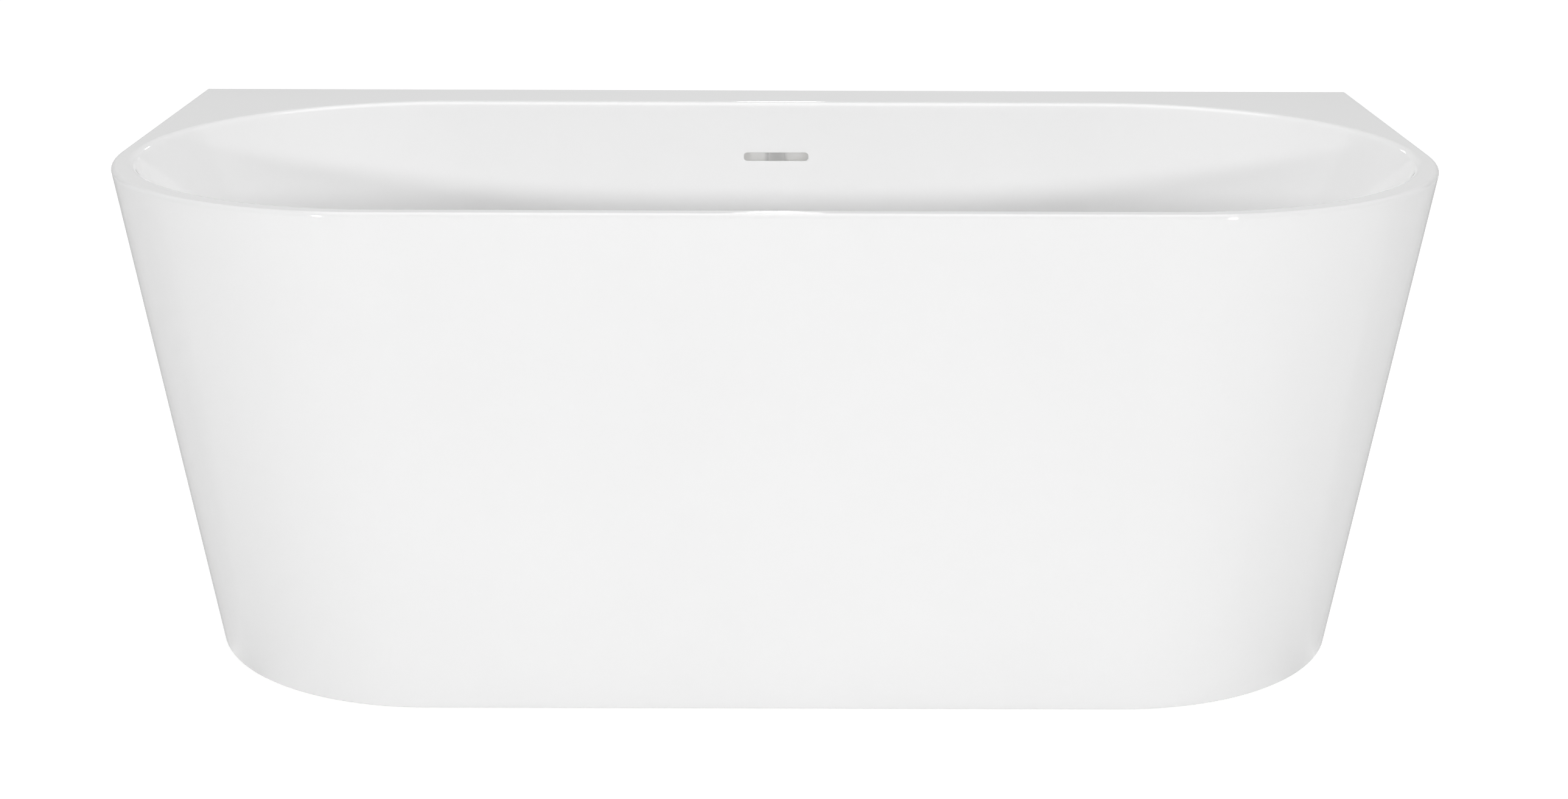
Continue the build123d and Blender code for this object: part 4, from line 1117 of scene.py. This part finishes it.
def add_floor():
    """Pale floor: white where camera and gloss see it, with the bath's soft shadow kept in it."""
    mesh = bpy.data.meshes.new("floor")
    corners = [(-1, -1), (1, -1), (1, 1), (-1, 1)]
    points = [(FLOOR_REACH * x, FLOOR_REACH * y, 0) for x, y in corners]
    mesh.from_pydata(points, [], [range(len(points))])
    floor = bpy.data.objects.new("floor", mesh)
    bpy.context.scene.collection.objects.link(floor)
    material = bpy.data.materials.new("pale_floor")
    graph = stage_graph(material)
    glow = graph.add("ShaderNodeEmission")
    glow.inputs["Strength"].default_value = FLOOR_GLOW
    seen = add_shaders(graph, matt(graph, FLOOR_SHADOW), glow.outputs["Emission"])
    mix = graph.add("ShaderNodeMixShader")
    graph.link(background_rays(graph), mix.inputs["Fac"])
    graph.link(matt(graph, FLOOR_WHITE), mix.inputs[1])
    graph.link(seen, mix.inputs[2])
    graph.link(mix.outputs["Shader"], graph.tree.nodes["Material Output"].inputs["Surface"])
    mesh.materials.append(material)


def add_card(name, at, corners, shade, clear=False):
    """Studio card that only shows in reflections, so that white edges stand out from white.

    A clear card adds its light to that of what lies behind it.
    """
    mesh = bpy.data.meshes.new(name)
    mesh.from_pydata(corners, [], [range(len(corners))])
    card = bpy.data.objects.new(name, mesh)
    card.location = at
    bpy.context.scene.collection.objects.link(card)
    material = bpy.data.materials.new(name)
    graph = stage_graph(material)
    glow = graph.add("ShaderNodeEmission")
    shade(graph, glow.inputs["Strength"])
    surface = glow.outputs["Emission"]
    if clear:
        through = graph.add("ShaderNodeBsdfTransparent")
        surface = add_shaders(graph, surface, through.outputs["BSDF"])
    graph.link(surface, graph.tree.nodes["Material Output"].inputs["Surface"])
    mesh.materials.append(material)
    card.visible_camera = False
    card.visible_diffuse = False
    card.visible_transmission = False
    card.visible_shadow = False
    return card


def even(level):
    """The same strength all over a card."""
    def shade(graph, strength):
        strength.default_value = level

    return shade


def grey_fan(graph, strength):
    """Dark straight behind the fan's corner and paler by the angle away from there."""
    place = graph.add("ShaderNodeSeparateXYZ")
    graph.link(graph.add("ShaderNodeTexCoord").outputs["Object"], place.inputs["Vector"])
    away = graph.maths("ABSOLUTE", place.outputs["X"])
    angle = graph.maths("ARCTAN2", away, place.outputs["Y"])
    share = graph.add("ShaderNodeMapRange")
    share.inputs["From Min"].default_value = FAN_START
    share.inputs["From Max"].default_value = FAN_ANGLE
    graph.link(angle, share.inputs["Value"])
    graph.link(graph.maths("SQRT", share.outputs["Result"]), strength)


def add_rear_card():
    half, height = REAR_CARD_HALF, REAR_CARD_HEIGHT
    corners = [(-half, 0, 0), (half, 0, 0), (half, 0, height), (-half, 0, height)]
    add_card("rear_card", REAR_CARD_AT, corners, even(REAR_CARD_GREY))


def add_fans():
    """A fan-shaped card on the floor beside each end of the bath."""
    x, y = FAN_CORNER
    for side, hand in ((-1, "left"), (1, "right")):
        fan = [(0, 0, 0)]
        for turn in spread(0, FAN_ANGLE, FAN_STEPS) + [FAN_ANGLE]:
            fan.append((side * FAN_LENGTH * sin(turn), FAN_LENGTH * cos(turn), 0))
        add_card(f"floor_card_{hand}", (side * x, y, CARD_LIFT), fan, grey_fan)


def add_bounce():
    """Clear card on the floor in front that lights the skirt's foot, narrower round its corners."""
    narrow = CORNER_STEPS // 2
    last = FRONT_STEPS + 1 + narrow
    near = [Vector((*at, 0)) for at, _ in d_half(0, 0)[: last + 1]]
    far = [Vector((*at, 0)) for at, _ in d_half(0, -BOUNCE_REACH)[: last + 1]]
    widths = [min(1, (last - i) / narrow) for i in range(last + 1)]
    edge = [a.lerp(b, width) for a, b, width in zip(near, far, widths)]
    right = near + edge[-2::-1]
    left = [Vector((-p.x, p.y, 0)) for p in right[-2:0:-1]]
    light = even(BOUNCE_GLOW)
    card = add_card("bounce_card", (0, 0, CARD_LIFT), right + left, light, clear=True)
    card.visible_diffuse = True
    card.visible_glossy = False


add_world()
add_lamp("overhead", OVERHEAD_AT, OVERHEAD_SIZE, OVERHEAD_POWER)
add_lamp("behind", BEHIND_AT, BEHIND_SIZE, BEHIND_POWER)
for side, name in ((-1, "side_left"), (1, "side_right")):
    x, y, z = SIDE_LAMP_AT
    add_lamp(name, (side * x, y, z), SIDE_LAMP_SIZE, SIDE_LAMP_POWER)
add_floor()
add_rear_card()
add_fans()
add_bounce()
bpy.context.scene.view_settings.view_transform = "Standard"
